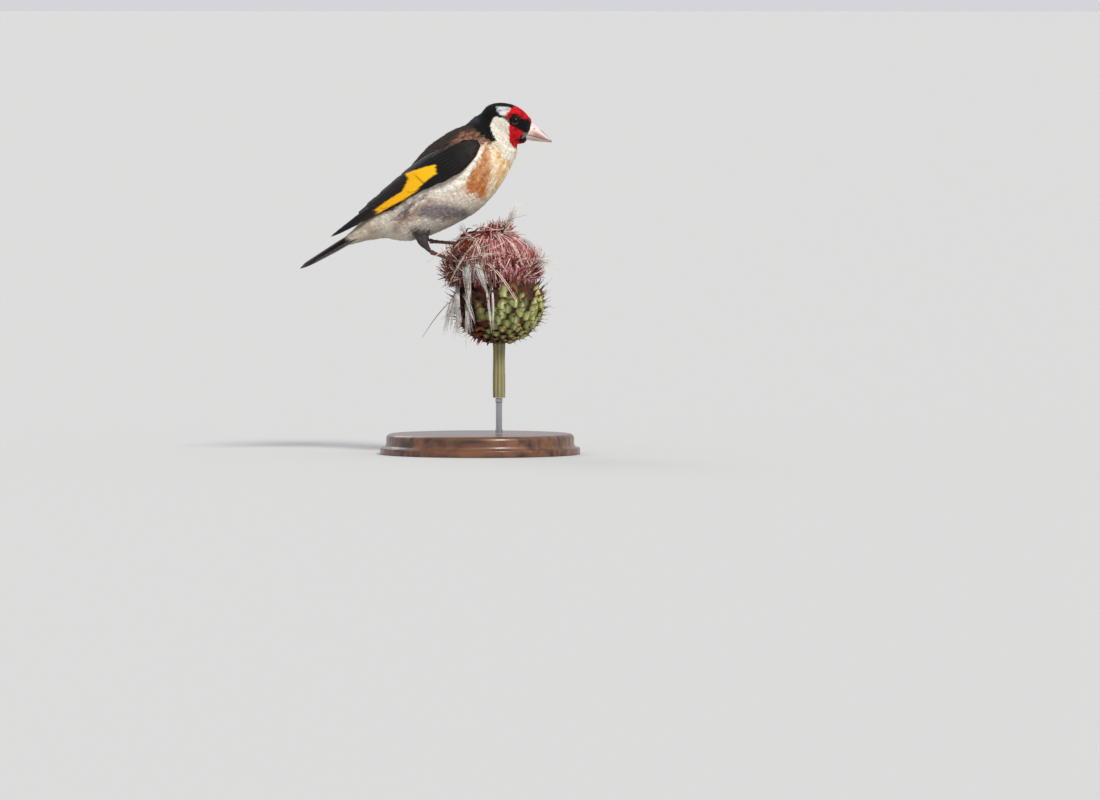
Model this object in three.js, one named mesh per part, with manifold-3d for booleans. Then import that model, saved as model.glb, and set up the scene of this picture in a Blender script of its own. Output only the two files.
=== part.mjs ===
// European goldfinch, life size, gripping the dry flower head of a thistle on a small display stand.
// Millimetres, +Z up. +X is the way the bird faces and -Y is its right side.
// The origin is the centre of the stand's underside.
import * as THREE from "three";
import { mergeVertices } from "three/addons/utils/BufferGeometryUtils.js";
import Module from "manifold-3d";

const wasm = await Module();
wasm.setup();

// Clearance between touching pieces, and the larger one that a coarse cutting body needs
const GAP = 0.32;
const COARSE_GAP = 0.85;

// Stand: a turned disc and one rod into the cut end of the stem. The disc has a flat foot, a
// hollow above the foot's lip and a rounded upper edge.
const BASE_RADIUS = 44;
const BASE_HEIGHT = 9;
const BASE_FOOT = 3;
const BASE_LIP = 0.6;
const BASE_HOLLOW = 2;
const BASE_ROUND = 2;
const BASE_SIDES = 36;
const ROD_RADIUS = 1.6;
const STEM_RADIUS = 2.8;
const STEM_CUT_Z = 25;

// Thistle head: its axis, the bowl of bracts and the tuft of dry florets above it
const THISTLE_AXIS = [8.4, -1.5];
const BOWL_BOTTOM_Z = 49;
const BOWL_TOP_Z = 75;
const BOWL_RADIUS = 19.5;
const BOWL_PROFILE = [
  [0, 0], [0.22, 0], [0.6, 0.12], [0.9, 0.36],
  [1, 0.62], [0.96, 0.85], [0.84, 1], [0, 1],
];
const BRACT_COUNT = 44;
const BRACT_HALF_WIDTH = 2.9;
const BRACT_LENGTH = 8.2;
const BRACT_LOWEST = 0.08;
const BRACT_HIGHEST = 0.86;
const BRACT_SMALLEST = 0.62;
// A bract's sections as shares of its length along and out of the bowl, and its half width
const BRACT_BASE = { rise: -0.35, out: -0.12, half: 0.85, keel: 0.7 };
const BRACT_MIDDLE = { rise: 0.3, out: 0.22, half: 0.92, keel: 0.8 };
const BRACT_SPINE = { rise: 0.55, out: 0.84, half: 0.09, keel: 0.24 };
const TUFT_CENTRE = new THREE.Vector3(5, -2.5, 81.1);
const TUFT_RADIUS = 18.6;

// Withered florets: flat locks that lie over the tuft, away from its crown, and lift at the tip.
// Their places are angles from the crown in degrees, and the heights are over the tuft.
const FLORET_COUNT = 41;
const FLORET_HALF_WIDTH = 2.2;
const FLORET_THICKNESS = 0.7;
const FLORET_FIRST = 4;
const FLORET_LAST = 84;
const FLORET_SPAN = 34;
const FLORET_SWAY = 16;
const FLORET_HEIGHTS = [-2.2, 1.0, 4.2];
const FLORET_WIDTHS = [0.75, 1, 0.7, 0.2];

// Wisps of down: their bearings round the head and how far they hang, and their radius and
// height on the way down
const WISPS = [
  { bearing: 203, drop: 11 },
  { bearing: 226, drop: 20 },
  { bearing: 241, drop: 15 },
];
const WISP_PATH = [[14, 82], [23.4, 80], [27.3, 74.5]];
const WISP_HALF_WIDTH = 1.7;
const WISP_WIDTHS = [0.8, 1, 1, 0.9, 0.7, 0.25];
const GOLDEN_ANGLE = Math.PI * (3 - Math.sqrt(5));

// Trunk and neck, from the tips of the undertail coverts to inside the head. Each station is
// the spine's place and how far the plumage reaches above, below and beside it.
const TRUNK = [
  { at: [-64.2, 91.5], up: 0.8, down: 0.8, side: 1.6 },
  { at: [-58.5, 94.3], up: 2.0, down: 2.9, side: 3.6 },
  { at: [-52.4, 98.1], up: 3.4, down: 5.2, side: 5.8 },
  { at: [-43.6, 103.1], up: 6.4, down: 8.9, side: 9.2 },
  { at: [-33.0, 106.6], up: 11.4, down: 13.5, side: 12.8 },
  { at: [-22.9, 113.2], up: 15.3, down: 16.3, side: 15.4 },
  { at: [-11.9, 121.4], up: 18.0, down: 18.0, side: 16.4 },
  { at: [-3.1, 129.3], up: 16.7, down: 16.7, side: 15.4 },
  { at: [2.9, 135.2], up: 14.4, down: 14.2, side: 12.4 },
  { at: [6.6, 140.3], up: 12.9, down: 12.5, side: 10.2 },
  { at: [9.7, 144.3], up: 11.3, down: 9.8, side: 8.2 },
];
const TORSO_END = 0.79;
const NECK_END = 0.93;

// Head: stations along an axis through its centre that dips towards the bill
const HEAD_CENTRE = [11, 145.8];
const HEAD_PITCH = THREE.MathUtils.degToRad(-22);
const HEAD = [
  { along: -10.8, up: 1.6, down: 1.6, side: 1.6 },
  { along: -9.6, up: 4.6, down: 4.6, side: 4.4 },
  { along: -6.5, up: 7.2, down: 7.7, side: 7.0 },
  { along: -1.8, up: 8.8, down: 9.2, side: 8.4 },
  { along: 2.8, up: 8.9, down: 8.8, side: 8.3 },
  { along: 6.6, up: 7.9, down: 7.6, side: 7.1 },
  { along: 9.6, up: 5.9, down: 6.0, side: 5.3 },
  { along: 11.4, up: 4.3, down: 4.5, side: 4.0 },
  { along: 12.4, up: 2.9, down: 3.1, side: 2.7 },
];

// Eye: a ball set deep in the head, with a raised ring of lid round it
const EYE_ALONG = 4.1;
const EYE_UP = 2.9;
const EYE_SIDE = 6.45;
const EYE_RADIUS = 2.2;
const LID_RADIUS = 1.75;
const LID_TUBE = 0.36;
const LID_SIDE = 7.75;

// Bill: a sharp cone in two halves that meet along the line from the gape to the tip, with a
// nostril in each side of the upper half where the feathers end
const BILL_GAPE = [19.6, 141.0];
const BILL_TIP = [31.5, 137.5];
const BILL = [
  { along: 0, up: 5.0, down: 2.6, side: 3.5 },
  { along: 0.19, up: 5.45, down: 2.25, side: 3.35 },
  { along: 0.31, up: 4.8, down: 2.0, side: 3.0 },
  { along: 0.57, up: 3.35, down: 1.45, side: 2.0 },
  { along: 0.83, up: 1.6, down: 0.75, side: 0.95 },
  { along: 1, up: 0.35, down: 0.3, side: 0.3 },
];
const NOSTRIL_ALONG = 0.34;
const NOSTRIL_UP = 3.1;
const NOSTRIL_SIDE = 2.45;
const NOSTRIL_RADIUS = 0.5;

// Folded wing: a sheet laid along the line from the bend to the tip. Each station is the
// distance along it, the line's distance from the midplane, the tilt and the radius of the
// sheet there, its lower and upper edges, its thickness outwards and its depth inwards.
const WING_BEND = [0.5, 137.0];
const WING_TIP = [-65.8, 95.6];
const WING = [
  { u: 0.0, y: 13.0, tilt: 22, radius: 15, low: -0.9, high: 1.6, thick: 0.7, deep: 2.0 },
  { u: 4.0, y: 14.6, tilt: 23, radius: 16, low: -4.2, high: 3.6, thick: 1.5, deep: 2.0 },
  { u: 12.0, y: 15.8, tilt: 24, radius: 17, low: -6.6, high: 5.2, thick: 1.9, deep: 2.0 },
  { u: 22.0, y: 15.0, tilt: 28, radius: 17, low: -6.6, high: 6.8, thick: 2.0, deep: 2.0 },
  { u: 33.0, y: 12.4, tilt: 34, radius: 17, low: -5.0, high: 8.6, thick: 2.0, deep: 2.0 },
  { u: 44.0, y: 9.3, tilt: 39, radius: 18, low: -4.3, high: 8.2, thick: 1.9, deep: 1.6 },
  { u: 55.0, y: 6.9, tilt: 43, radius: 20, low: -3.8, high: 6.2, thick: 1.6, deep: 0.8 },
  { u: 66.0, y: 5.0, tilt: 45, radius: 24, low: -2.9, high: 3.8, thick: 1.3, deep: 0.5 },
  { u: 74.0, y: 4.0, tilt: 45, radius: 28, low: -1.8, high: 1.9, thick: 1.0, deep: 0.3 },
  { u: 78.2, y: 3.6, tilt: 45, radius: 30, low: -0.3, high: 0.3, thick: 0.8, deep: 0.2 },
];

// The wing's core is full in front, where the lesser coverts lie, and thin under the tiers
const WING_CORE_END = 64;
const WING_CORE_STEPS = 12;
const WING_CORE_ACROSS = 4;
const WING_CORE_INSET = 0.9;
const WING_CORE_FULL = 1.3;
const WING_CORE_THIN = 0.3;
const WING_CORE_EDGE = 0.4;
const COVERTS_START = 9;
const COVERTS_END = 17;

// Tiers of wing feathers, each from its lowest feather to its highest. Roots and tips are
// places on the sheet, half is half a feather's width, and lift is its height over the sheet
// as a share of the wing's thickness.
const WING_TIERS = [
  {
    name: "primaries",
    tipsAlong: [76.2, 78.2, 75.6, 71.4, 67.0, 62.4],
    roots: [[9, -5.0], [24, -1.8]],
    tips: [-0.5, 1.7],
    half: 2.2,
    lift: [0.45, 0.75],
  },
  {
    name: "secondaries",
    tipsAlong: [52.5, 53.8, 55.0, 56.2, 57.4],
    roots: [[15, -3.4], [17, 3.8]],
    tips: [-1.9, 3.2],
    half: 2.3,
    lift: [0.68, 0.9],
  },
  {
    name: "tertials",
    tipsAlong: [50, 44, 38],
    roots: [[16, 3.6], [15, 5.4]],
    tips: [4.6, 6.3],
    half: 3.1,
    lift: [0.96, 1.12],
  },
  {
    name: "primary coverts",
    tipsAlong: [32, 34.5, 37],
    roots: [[13, -5.6], [16, -4.2]],
    tips: [-4.4, -2.6],
    half: 1.3,
    lift: [0.72, 0.82],
  },
  {
    name: "alula",
    tipsAlong: [24, 27.5],
    roots: [[9, -5.4], [10, -4.6]],
    tips: [-5.9, -4.9],
    half: 1.2,
    lift: [0.86, 0.94],
  },
  {
    name: "greater coverts",
    tipsAlong: [30, 30.6, 31.4, 32.2, 33],
    roots: [[12, -3.7], [13, 4.6]],
    tips: [-3.0, 5.8],
    half: 2.1,
    lift: [0.98, 1.16],
  },
  {
    name: "median coverts",
    tipsAlong: [18.5, 19.3, 20.2, 21],
    roots: [[6, -3.2], [6, 3.4]],
    tips: [-4.7, 4.7],
    half: 2.3,
    lift: [1.18, 1.28],
  },
];
const VANE_THICKNESS = 0.55;
const VANE_SHINGLE = 0.16;
const VANE_TIP_THICKNESS = 0.7;
const VANE_TIP_START = 0.8;
const LONG_FEATHER = 24;
const LONG_VANE = [[0, 0.5], [0.35, 0.85], [0.7, 1], [0.93, 0.66], [1, 0.14]];
const SHORT_VANE = [[0, 0.7], [0.55, 1], [0.88, 0.8], [1, 0.2]];
const TAIL_VANE = [[0, 0.5], [0.4, 0.9], [0.75, 1], [0.96, 0.82], [1, 0.35]];

// Tail: a narrow roofed fan from its root inside the coverts to the tip, of six feathers a side
const TAIL_ROOT = [-40.5, 105.6];
const TAIL_TIP = [-79.6, 82.4];
const TAIL = [
  { along: 0.0, up: 1.2, down: 2.2, side: 3.2 },
  { along: 0.3, up: 1.4, down: 3.0, side: 4.4 },
  { along: 0.55, up: 1.3, down: 3.0, side: 5.3 },
  { along: 0.8, up: 0.9, down: 2.4, side: 6.1 },
  { along: 1.0, up: 0.5, down: 1.5, side: 6.1 },
];
const TAIL_PAIRS = 6;
const TAIL_ROOF = 0.2;
const TAIL_VANE_HALF = 2.5;
const TAIL_FORK = 2.2;
const TAIL_INNER_ROOT = 0.7;
const TAIL_OUTER_ROOT = 1.4;
const TAIL_INNER_PLACE = 0.3;
const TAIL_FAN_END = 0.7;
const TAIL_STACK = 0.92;
const TAIL_CORE_PLACES = [0.005, 0.2, 0.42];
const TAIL_CORE_WIDTH = 0.55;
const TAIL_CORE_SUNK = 0.55;

// Legs: the feathered thigh from the flank to the heel, the bare shank, and the foot on the tuft
const LEGS = {
  right: {
    thigh: [
      { at: [-25.5, -6.5, 101.0], radius: 3.8 },
      { at: [-25.0, -6.1, 94.6], radius: 2.9 },
      { at: [-23.1, -5.0, 91.2], radius: 1.6 },
      { at: [-21.2, -4.3, 88.9], radius: 1.15 },
    ],
    ball: new THREE.Vector3(-12.2, -12.5, 86.0),
  },
  left: {
    thigh: [
      { at: [-27.0, 6.5, 104.5], radius: 3.8 },
      { at: [-26.0, 6.6, 98.5], radius: 2.8 },
      { at: [-24.6, 6.6, 95.6], radius: 1.6 },
      { at: [-22.9, 6.5, 93.6], radius: 1.15 },
    ],
    ball: new THREE.Vector3(-10.4, 4.5, 92.6),
  },
};
const SHANK_RADIUS = 0.85;
const TOE_RADIUS = 0.8;
const TOES = [
  { name: "inner", turn: -38, length: 7.4 },
  { name: "middle", turn: 0, length: 10.0 },
  { name: "outer", turn: 36, length: 7.6 },
  { name: "hind", turn: 180, length: 6.6 },
];
const TOE_PLACES = [-0.04, 0.3, 0.65, 1];
const TOE_WIDTHS = [1.25, 1, 1.1, 0.65];
const TOE_DROOP = 0.15;
const CLAW_LENGTH = 3.6;
const CLAW_RADII = [0.46, 0.42, 0.32, 0.16];
const CLAW_ARCH = 0.9;
const CLAW_DROOP = 0.7;
const HEEL_RADIUS = 1.15;
const KNUCKLE_RADIUS = 1.0;

const { lerp, clamp, degToRad, smoothstep } = THREE.MathUtils;

// Seeded draws from -1 to 1
let seed = 20117;
function draw() {
  seed = (seed * 1103515245 + 12345) % 2147483648;
  return seed / 1073741824 - 1;
}

// Smooth values through a list of stations, at a share of the way along the list
function through(stations, keys) {
  const curves = keys.map((key) => {
    const points = stations.map((s, i) => new THREE.Vector3(i, s[key], 0));
    return new THREE.CatmullRomCurve3(points, false, "catmullrom", 0.5);
  });
  return (t) => Object.fromEntries(keys.map((key, k) => [key, curves[k].getPoint(t).y]));
}

// Smooth values through stations placed by a rising key, at a value of that key
function along(stations, placeKey, keys) {
  const last = stations.length - 1;
  const at = through(stations, keys);
  return (place) => {
    const found = stations.findIndex((s) => s[placeKey] >= place);
    const i = Math.max(1, found < 0 ? last : found);
    const a = stations[i - 1][placeKey];
    const b = stations[i][placeKey];
    return at(clamp((i - 1 + (place - a) / (b - a)) / last, 0, 1));
  };
}

// A closed surface through rings of equally many points, with a fan over each end. From the
// column that mirrored names on, the quads are split the other way.
function skinOver(rings, mirrored = Infinity) {
  const count = rings[0].length;
  const centre = (ring) =>
    ring.reduce((sum, p) => sum.add(p), new THREE.Vector3()).divideScalar(count);
  const points = [...rings.flat(), centre(rings[0]), centre(rings.at(-1))];
  const first = points.length - 2;
  const top = (rings.length - 1) * count;
  const faces = [];
  for (let j = 0; j < count; j++) {
    const next = (j + 1) % count;
    faces.push(first, next, j, first + 1, top + j, top + next);
    for (let i = 0; i < rings.length - 1; i++) {
      const a = i * count + j;
      const b = i * count + next;
      const quad = j < mirrored
        ? [a, b, a + count, b, b + count, a + count]
        : [a, b, b + count, a, b + count, a + count];
      faces.push(...quad);
    }
  }
  return new THREE.BufferGeometry()
    .setAttribute("position", new THREE.Float32BufferAttribute(points.flatMap((p) => p.toArray()), 3))
    .setIndex(faces);
}

// A three.js geometry as a solid, turned to face out
function solid(geometry) {
  const plain = geometry.clone();
  plain.deleteAttribute("normal");
  plain.deleteAttribute("uv");
  const merged = mergeVertices(plain, 1e-4);
  const v = merged.attributes.position.array;
  const faces = Array.from(merged.index.array);
  const kept = [];
  let volume = 0;
  for (let i = 0; i < faces.length; i += 3) {
    const [a, b, c] = faces.slice(i, i + 3);
    if (a === b || b === c || a === c) continue;
    kept.push(a, b, c);
    const [p, q, r] = [a, b, c].map((k) => new THREE.Vector3().fromArray(v, 3 * k));
    volume += p.dot(q.cross(r));
  }
  if (volume < 0) kept.reverse();
  return new wasm.Manifold(
    new wasm.Mesh({ numProp: 3, vertProperties: v, triVerts: new Uint32Array(kept) }),
  );
}

// The largest closed surface of a solid
function largest(made) {
  return made.decompose().reduce((a, b) => (b.volume() > a.volume() ? b : a));
}

// Many solids joined into one
function joined(solids) {
  return solids.reduce((a, b) => a.add(b));
}

// A closed vane: place gives a point on it from the share of its length, the share of its half
// width and the depth under its top face, and outline lists its half width along the length
function vane(place, outline) {
  const rings = outline.map(([s, w]) => [
    place(s, -w, 0),
    place(s, w, 0),
    place(s, w, 1),
    place(s, -w, 1),
  ]);
  return solid(skinOver(rings, 2));
}

function vaneThickness(share) {
  return VANE_THICKNESS * lerp(1, VANE_TIP_THICKNESS, smoothstep(share, VANE_TIP_START, 1));
}

// Circle of points round a centre, in the plane of two directions
function ring(centre, right, up, sides, reach) {
  return Array.from({ length: sides }, (_, k) => {
    const a = (2 * Math.PI * k) / sides;
    const [r, u] = reach(Math.cos(a), Math.sin(a));
    return centre.clone().addScaledVector(right, r).addScaledVector(up, u);
  });
}

// A limb of round section through centres with their radii
const LIMB_SIDE = new THREE.Vector3(0.3, 1, 0.2);
function limb(centres, radii, sides) {
  const curve = new THREE.CatmullRomCurve3(centres);
  const rings = radii.map((radius, i) => {
    const t = i / (radii.length - 1);
    const tangent = curve.getTangent(t);
    const right = LIMB_SIDE.clone().cross(tangent).normalize();
    const up = tangent.clone().cross(right);
    return ring(curve.getPoint(t), right, up, sides, (c, s) => [c * radius, s * radius]);
  });
  return skinOver(rings);
}

// A body of elliptical section along a line in the midplane
const ACROSS = new THREE.Vector3(0, 1, 0);
function sectionAt(centre, tangent, size, sides, grow) {
  const up = new THREE.Vector3(-tangent.z, 0, tangent.x);
  return ring(centre, ACROSS, up, sides, (c, s) => [
    c * (size.side + grow),
    s * ((s > 0 ? size.up : size.down) + grow),
  ]);
}

const trunkLine = new THREE.CatmullRomCurve3(
  TRUNK.map((s) => new THREE.Vector3(s.at[0], 0, s.at[1])), false, "catmullrom", 0.5,
);
const trunkSize = through(TRUNK, ["up", "down", "side"]);

function trunk(grow, steps, sides) {
  const rings = Array.from({ length: steps + 1 }, (_, i) => {
    const t = i / steps;
    return sectionAt(trunkLine.getPoint(t), trunkLine.getTangent(t), trunkSize(t), sides, grow);
  });
  return solid(skinOver(rings));
}

// A body along a straight axis in the midplane, its stations placed by their "along"
function straightBody(from, direction, stations, scale, steps, sides, grow) {
  const size = through(stations, ["along", "up", "down", "side"]);
  const rings = Array.from({ length: steps + 1 }, (_, i) => {
    const s = size(i / steps);
    const centre = from.clone().addScaledVector(direction, s.along * scale);
    return sectionAt(centre, direction, s, sides, grow);
  });
  return solid(skinOver(rings));
}

const headCentre = new THREE.Vector3(HEAD_CENTRE[0], 0, HEAD_CENTRE[1]);
const headWay = new THREE.Vector3(Math.cos(HEAD_PITCH), 0, Math.sin(HEAD_PITCH));
const headUp = new THREE.Vector3(-headWay.z, 0, headWay.x);

function head(grow, steps, sides) {
  return straightBody(headCentre, headWay, HEAD, 1, steps, sides, grow);
}

// Cuts a solid square to the spine, keeping the far or the near side, half a gap away
function cutAt(made, t, keepAhead) {
  const n = trunkLine.getTangent(t);
  const offset = trunkLine.getPoint(t).dot(n);
  return keepAhead
    ? made.trimByPlane(n.toArray(), offset + GAP / 2)
    : made.trimByPlane(n.clone().negate().toArray(), -(offset - GAP / 2));
}

// Bill halves: the upper one keeps the ridge above the mouth's line, the lower one the rest
const billBase = new THREE.Vector3(BILL_GAPE[0], 0, BILL_GAPE[1]);
const billSpan = new THREE.Vector3(BILL_TIP[0], 0, BILL_TIP[1]).sub(billBase);
const billWay = billSpan.clone().normalize();
const billUp = new THREE.Vector3(-billWay.z, 0, billWay.x);

function billCone(grow) {
  return straightBody(billBase, billWay, BILL, billSpan.length(), 8, 14, grow);
}

function nostrils() {
  const pits = Object.values(sides).map((side) => {
    const centre = billBase
      .clone()
      .addScaledVector(billWay, NOSTRIL_ALONG * billSpan.length())
      .addScaledVector(billUp, NOSTRIL_UP)
      .addScaledVector(ACROSS, side * NOSTRIL_SIDE);
    return solid(new THREE.SphereGeometry(NOSTRIL_RADIUS, 8, 6).translate(...centre.toArray()));
  });
  return joined(pits);
}

function billHalf(isUpper) {
  const way = isUpper ? billUp : billUp.clone().negate();
  const offset = billBase.dot(way) + GAP / 2;
  return billCone(0).trimByPlane(way.toArray(), offset);
}

function onHead(distance, height, outward) {
  return headCentre
    .clone()
    .addScaledVector(headWay, distance)
    .addScaledVector(headUp, height)
    .addScaledVector(ACROSS, outward);
}

function eyeBall(side, grow) {
  const centre = onHead(EYE_ALONG, EYE_UP, side * EYE_SIDE);
  const ball = new THREE.SphereGeometry(EYE_RADIUS + grow, 12, 8).translate(...centre.toArray());
  return solid(ball);
}

function lidRing(side) {
  const centre = onHead(EYE_ALONG, EYE_UP, side * LID_SIDE);
  const lid = new THREE.TorusGeometry(LID_RADIUS, LID_TUBE, 4, 12).rotateX(Math.PI / 2);
  return solid(lid.translate(...centre.toArray()));
}

// Wing sheet: the point at a distance along it, across it and above it
const wingBend = new THREE.Vector3(WING_BEND[0], 0, WING_BEND[1]);
const wingSpan = new THREE.Vector3(WING_TIP[0], 0, WING_TIP[1]).sub(wingBend);
const wingWay = wingSpan.clone().normalize();
const wingUp = new THREE.Vector3(wingWay.z, 0, -wingWay.x);
const wingAt = along(WING, "u", ["y", "tilt", "radius", "low", "high", "thick", "deep"]);

function onWing(side, u, v, lift) {
  const { y, tilt, radius } = wingAt(u);
  const beta = degToRad(tilt);
  const outward = new THREE.Vector3(0, side, 0);
  const facing = outward.clone().multiplyScalar(Math.cos(beta)).addScaledVector(wingUp, Math.sin(beta));
  const rising = outward.clone().multiplyScalar(-Math.sin(beta)).addScaledVector(wingUp, Math.cos(beta));
  const a = v / radius;
  return wingBend
    .clone()
    .addScaledVector(wingWay, u)
    .addScaledVector(outward, y)
    .addScaledVector(rising, (radius + lift) * Math.sin(a))
    .addScaledVector(facing, (radius + lift) * Math.cos(a) - radius);
}

// The wing under its feather tiers, full in front where the lesser coverts lie
function wingCore(side) {
  const across = WING_CORE_ACROSS;
  const rings = Array.from({ length: WING_CORE_STEPS + 1 }, (_, i) => {
    const u = (WING_CORE_END * i) / WING_CORE_STEPS;
    const { low, high, thick, deep } = wingAt(u);
    const covered = smoothstep(u, COVERTS_START, COVERTS_END);
    const inset = WING_CORE_INSET * covered;
    const share = lerp(WING_CORE_FULL, WING_CORE_THIN, covered);
    const v = (c) => lerp(low + inset, high - inset, c);
    const outer = Array.from({ length: across + 1 }, (_, j) => {
      const c = j / across;
      const crown = lerp(lerp(WING_CORE_EDGE, 1, Math.sin(Math.PI * c)), 1, covered);
      return onWing(side, u, v(c), thick * share * crown);
    });
    const inner = Array.from({ length: across + 1 }, (_, j) =>
      onWing(side, u, v(1 - j / across), -deep));
    return [...outer, ...inner];
  });
  return solid(skinOver(rings, across + 1));
}

// One feather of a tier, at its share of the way from the lowest to the highest
function wingFeather(side, tier, i) {
  const count = tier.tipsAlong.length;
  const share = i / (count - 1);
  const root = [0, 1].map((k) => lerp(tier.roots[0][k], tier.roots[1][k], share));
  const tip = [tier.tipsAlong[i], lerp(tier.tips[0], tier.tips[1], share)];
  const lift = lerp(tier.lift[0], tier.lift[1], share);
  const place = (s, w, under) => {
    const u = lerp(root[0], tip[0], s);
    const v = lerp(root[1], tip[1], s) + w * tier.half;
    const top = lift * wingAt(u).thick - VANE_SHINGLE * w;
    const thickness = vaneThickness(s);
    return onWing(side, u, v, top - under * thickness);
  };
  return vane(place, tip[0] - root[0] > LONG_FEATHER ? LONG_VANE : SHORT_VANE);
}

function wing(side) {
  const feathers = WING_TIERS.flatMap((tier) => tier.tipsAlong.map((_, i) => wingFeather(side, tier, i)));
  return joined([wingCore(side), ...feathers]);
}

// Tail: the roofed space that holds all of its feathers, and the feathers in it
const tailRoot = new THREE.Vector3(TAIL_ROOT[0], 0, TAIL_ROOT[1]);
const tailSpan = new THREE.Vector3(TAIL_TIP[0], 0, TAIL_TIP[1]).sub(tailRoot);
const tailWay = tailSpan.clone().normalize();
const tailUp = new THREE.Vector3(tailWay.z, 0, -tailWay.x);
const tailSize = along(TAIL, "along", ["up", "down", "side"]);

function onTail(share, y, height) {
  return tailRoot
    .clone()
    .addScaledVector(tailWay, share * tailSpan.length())
    .addScaledVector(tailUp, height)
    .addScaledVector(ACROSS, y);
}

function tailSpace(grow) {
  const steps = 8;
  const overrun = grow / tailSpan.length();
  const rings = Array.from({ length: steps + 1 }, (_, i) => {
    const share = i / steps;
    const { up, down, side } = tailSize(share);
    const reach = side + grow;
    const eave = TAIL_ROOF * side;
    const at = lerp(-overrun, 1 + overrun, share);
    return [
      [-reach, up - eave + grow], [0, up + grow], [reach, up - eave + grow],
      [reach, -down - grow], [0, -down + eave - grow], [-reach, -down - grow],
    ].map(([y, height]) => onTail(at, y, height));
  });
  return solid(skinOver(rings));
}

function tailFeather(side, i) {
  const share = i / (TAIL_PAIRS - 1);
  const length = 1 - (TAIL_FORK * (1 - share)) / tailSpan.length();
  const rootY = side * lerp(TAIL_INNER_ROOT, TAIL_OUTER_ROOT, share);
  const place = (s, w, under) => {
    const at = s * length;
    const size = tailSize(at);
    const fanned = smoothstep(at, 0, TAIL_FAN_END);
    const half = TAIL_VANE_HALF * lerp(0.7, 1, fanned);
    const middle = side * Math.max(0, size.side - half) * lerp(TAIL_INNER_PLACE, 1, share);
    const y = lerp(rootY, middle, fanned) + w * half;
    const depth = size.up + size.down - TAIL_ROOF * size.side - VANE_THICKNESS;
    const thickness = vaneThickness(s);
    const height = size.up - TAIL_ROOF * Math.abs(y) - TAIL_STACK * share * depth;
    return onTail(at, y, height - under * thickness);
  };
  return vane(place, TAIL_VANE);
}

function tail() {
  const core = skinOver(TAIL_CORE_PLACES.map((at) => {
    const { up, down, side } = tailSize(at);
    const half = TAIL_CORE_WIDTH * side;
    const top = up - TAIL_CORE_SUNK;
    const bottom = TAIL_CORE_SUNK - down;
    return [[-half, top], [half, top], [half, bottom], [-half, bottom]]
      .map(([y, height]) => onTail(at, y, height));
  }));
  const pairs = Array.from({ length: TAIL_PAIRS }, (_, i) => i);
  const feathers = Object.values(sides).flatMap((side) => pairs.map((i) => tailFeather(side, i)));
  return joined([solid(core), ...feathers]).intersect(tailSpace(0));
}

const sides = { right: -1, left: 1 };

function thigh(leg, grow) {
  const centres = leg.thigh.map((s) => new THREE.Vector3(...s.at));
  return solid(limb(centres, leg.thigh.map((s) => s.radius + grow), 10));
}

// The bare shank, its two ends sunk by a given length or short of them
function shank(leg, grow, shortened) {
  const heel = new THREE.Vector3(...leg.thigh.at(-1).at);
  const way = leg.ball.clone().sub(heel).normalize();
  const bottom = leg.ball.clone().addScaledVector(way, -shortened);
  const radii = [HEEL_RADIUS, SHANK_RADIUS, SHANK_RADIUS, KNUCKLE_RADIUS].map((r) => r + grow);
  return solid(limb([heel, heel.clone().lerp(bottom, 0.5), bottom], radii, 8));
}

// A toe's way over the tuft: its point at a distance along it and above the tuft
function toeAt(leg, turn, distance, height) {
  const heel = new THREE.Vector3(...leg.thigh.at(-1).at);
  const out = leg.ball.clone().sub(TUFT_CENTRE);
  const reach = out.length();
  out.normalize();
  const forward = leg.ball.clone().sub(heel);
  forward.addScaledVector(out, -forward.dot(out)).normalize();
  const way = forward.applyAxisAngle(out, degToRad(turn));
  const a = distance / reach;
  return TUFT_CENTRE.clone()
    .addScaledVector(out, (reach + height) * Math.cos(a))
    .addScaledVector(way, (reach + height) * Math.sin(a));
}

function foot(leg, grow) {
  const toes = TOES.map(({ turn, length }) => {
    const centres = TOE_PLACES.map((s) => toeAt(leg, turn, s * length, -TOE_DROOP * s));
    const radii = TOE_WIDTHS.map((r) => r * TOE_RADIUS + grow);
    return solid(limb(centres, radii, 6));
  });
  return joined(toes);
}

function claw(leg, toe, grow) {
  const start = toe.length + 1.3 * GAP;
  const centres = [0, 0.5, 1].map((s) => {
    const height = CLAW_ARCH * Math.sin(s * Math.PI) - CLAW_DROOP * s ** 2;
    return toeAt(leg, toe.turn, start + s * CLAW_LENGTH, height);
  });
  return solid(limb(centres, CLAW_RADII.map((r) => r + grow), 6));
}

// Thistle bowl: its outline from the stem up, and its radius at a height
const bowlHeight = BOWL_TOP_Z - BOWL_BOTTOM_Z;

function bowlRadius(share) {
  const i = BOWL_PROFILE.findIndex(([, h], k) => k > 1 && h >= share);
  const [r0, h0] = BOWL_PROFILE[i - 1];
  const [r1, h1] = BOWL_PROFILE[i];
  return BOWL_RADIUS * lerp(r0, r1, (share - h0) / (h1 - h0));
}

function bowl() {
  const outline = BOWL_PROFILE.map(([r, h]) => new THREE.Vector2(r * BOWL_RADIUS, h * bowlHeight));
  const shape = new THREE.LatheGeometry(outline, 20);
  return solid(shape.rotateX(Math.PI / 2).translate(THISTLE_AXIS[0], THISTLE_AXIS[1], BOWL_BOTTOM_Z));
}

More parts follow.
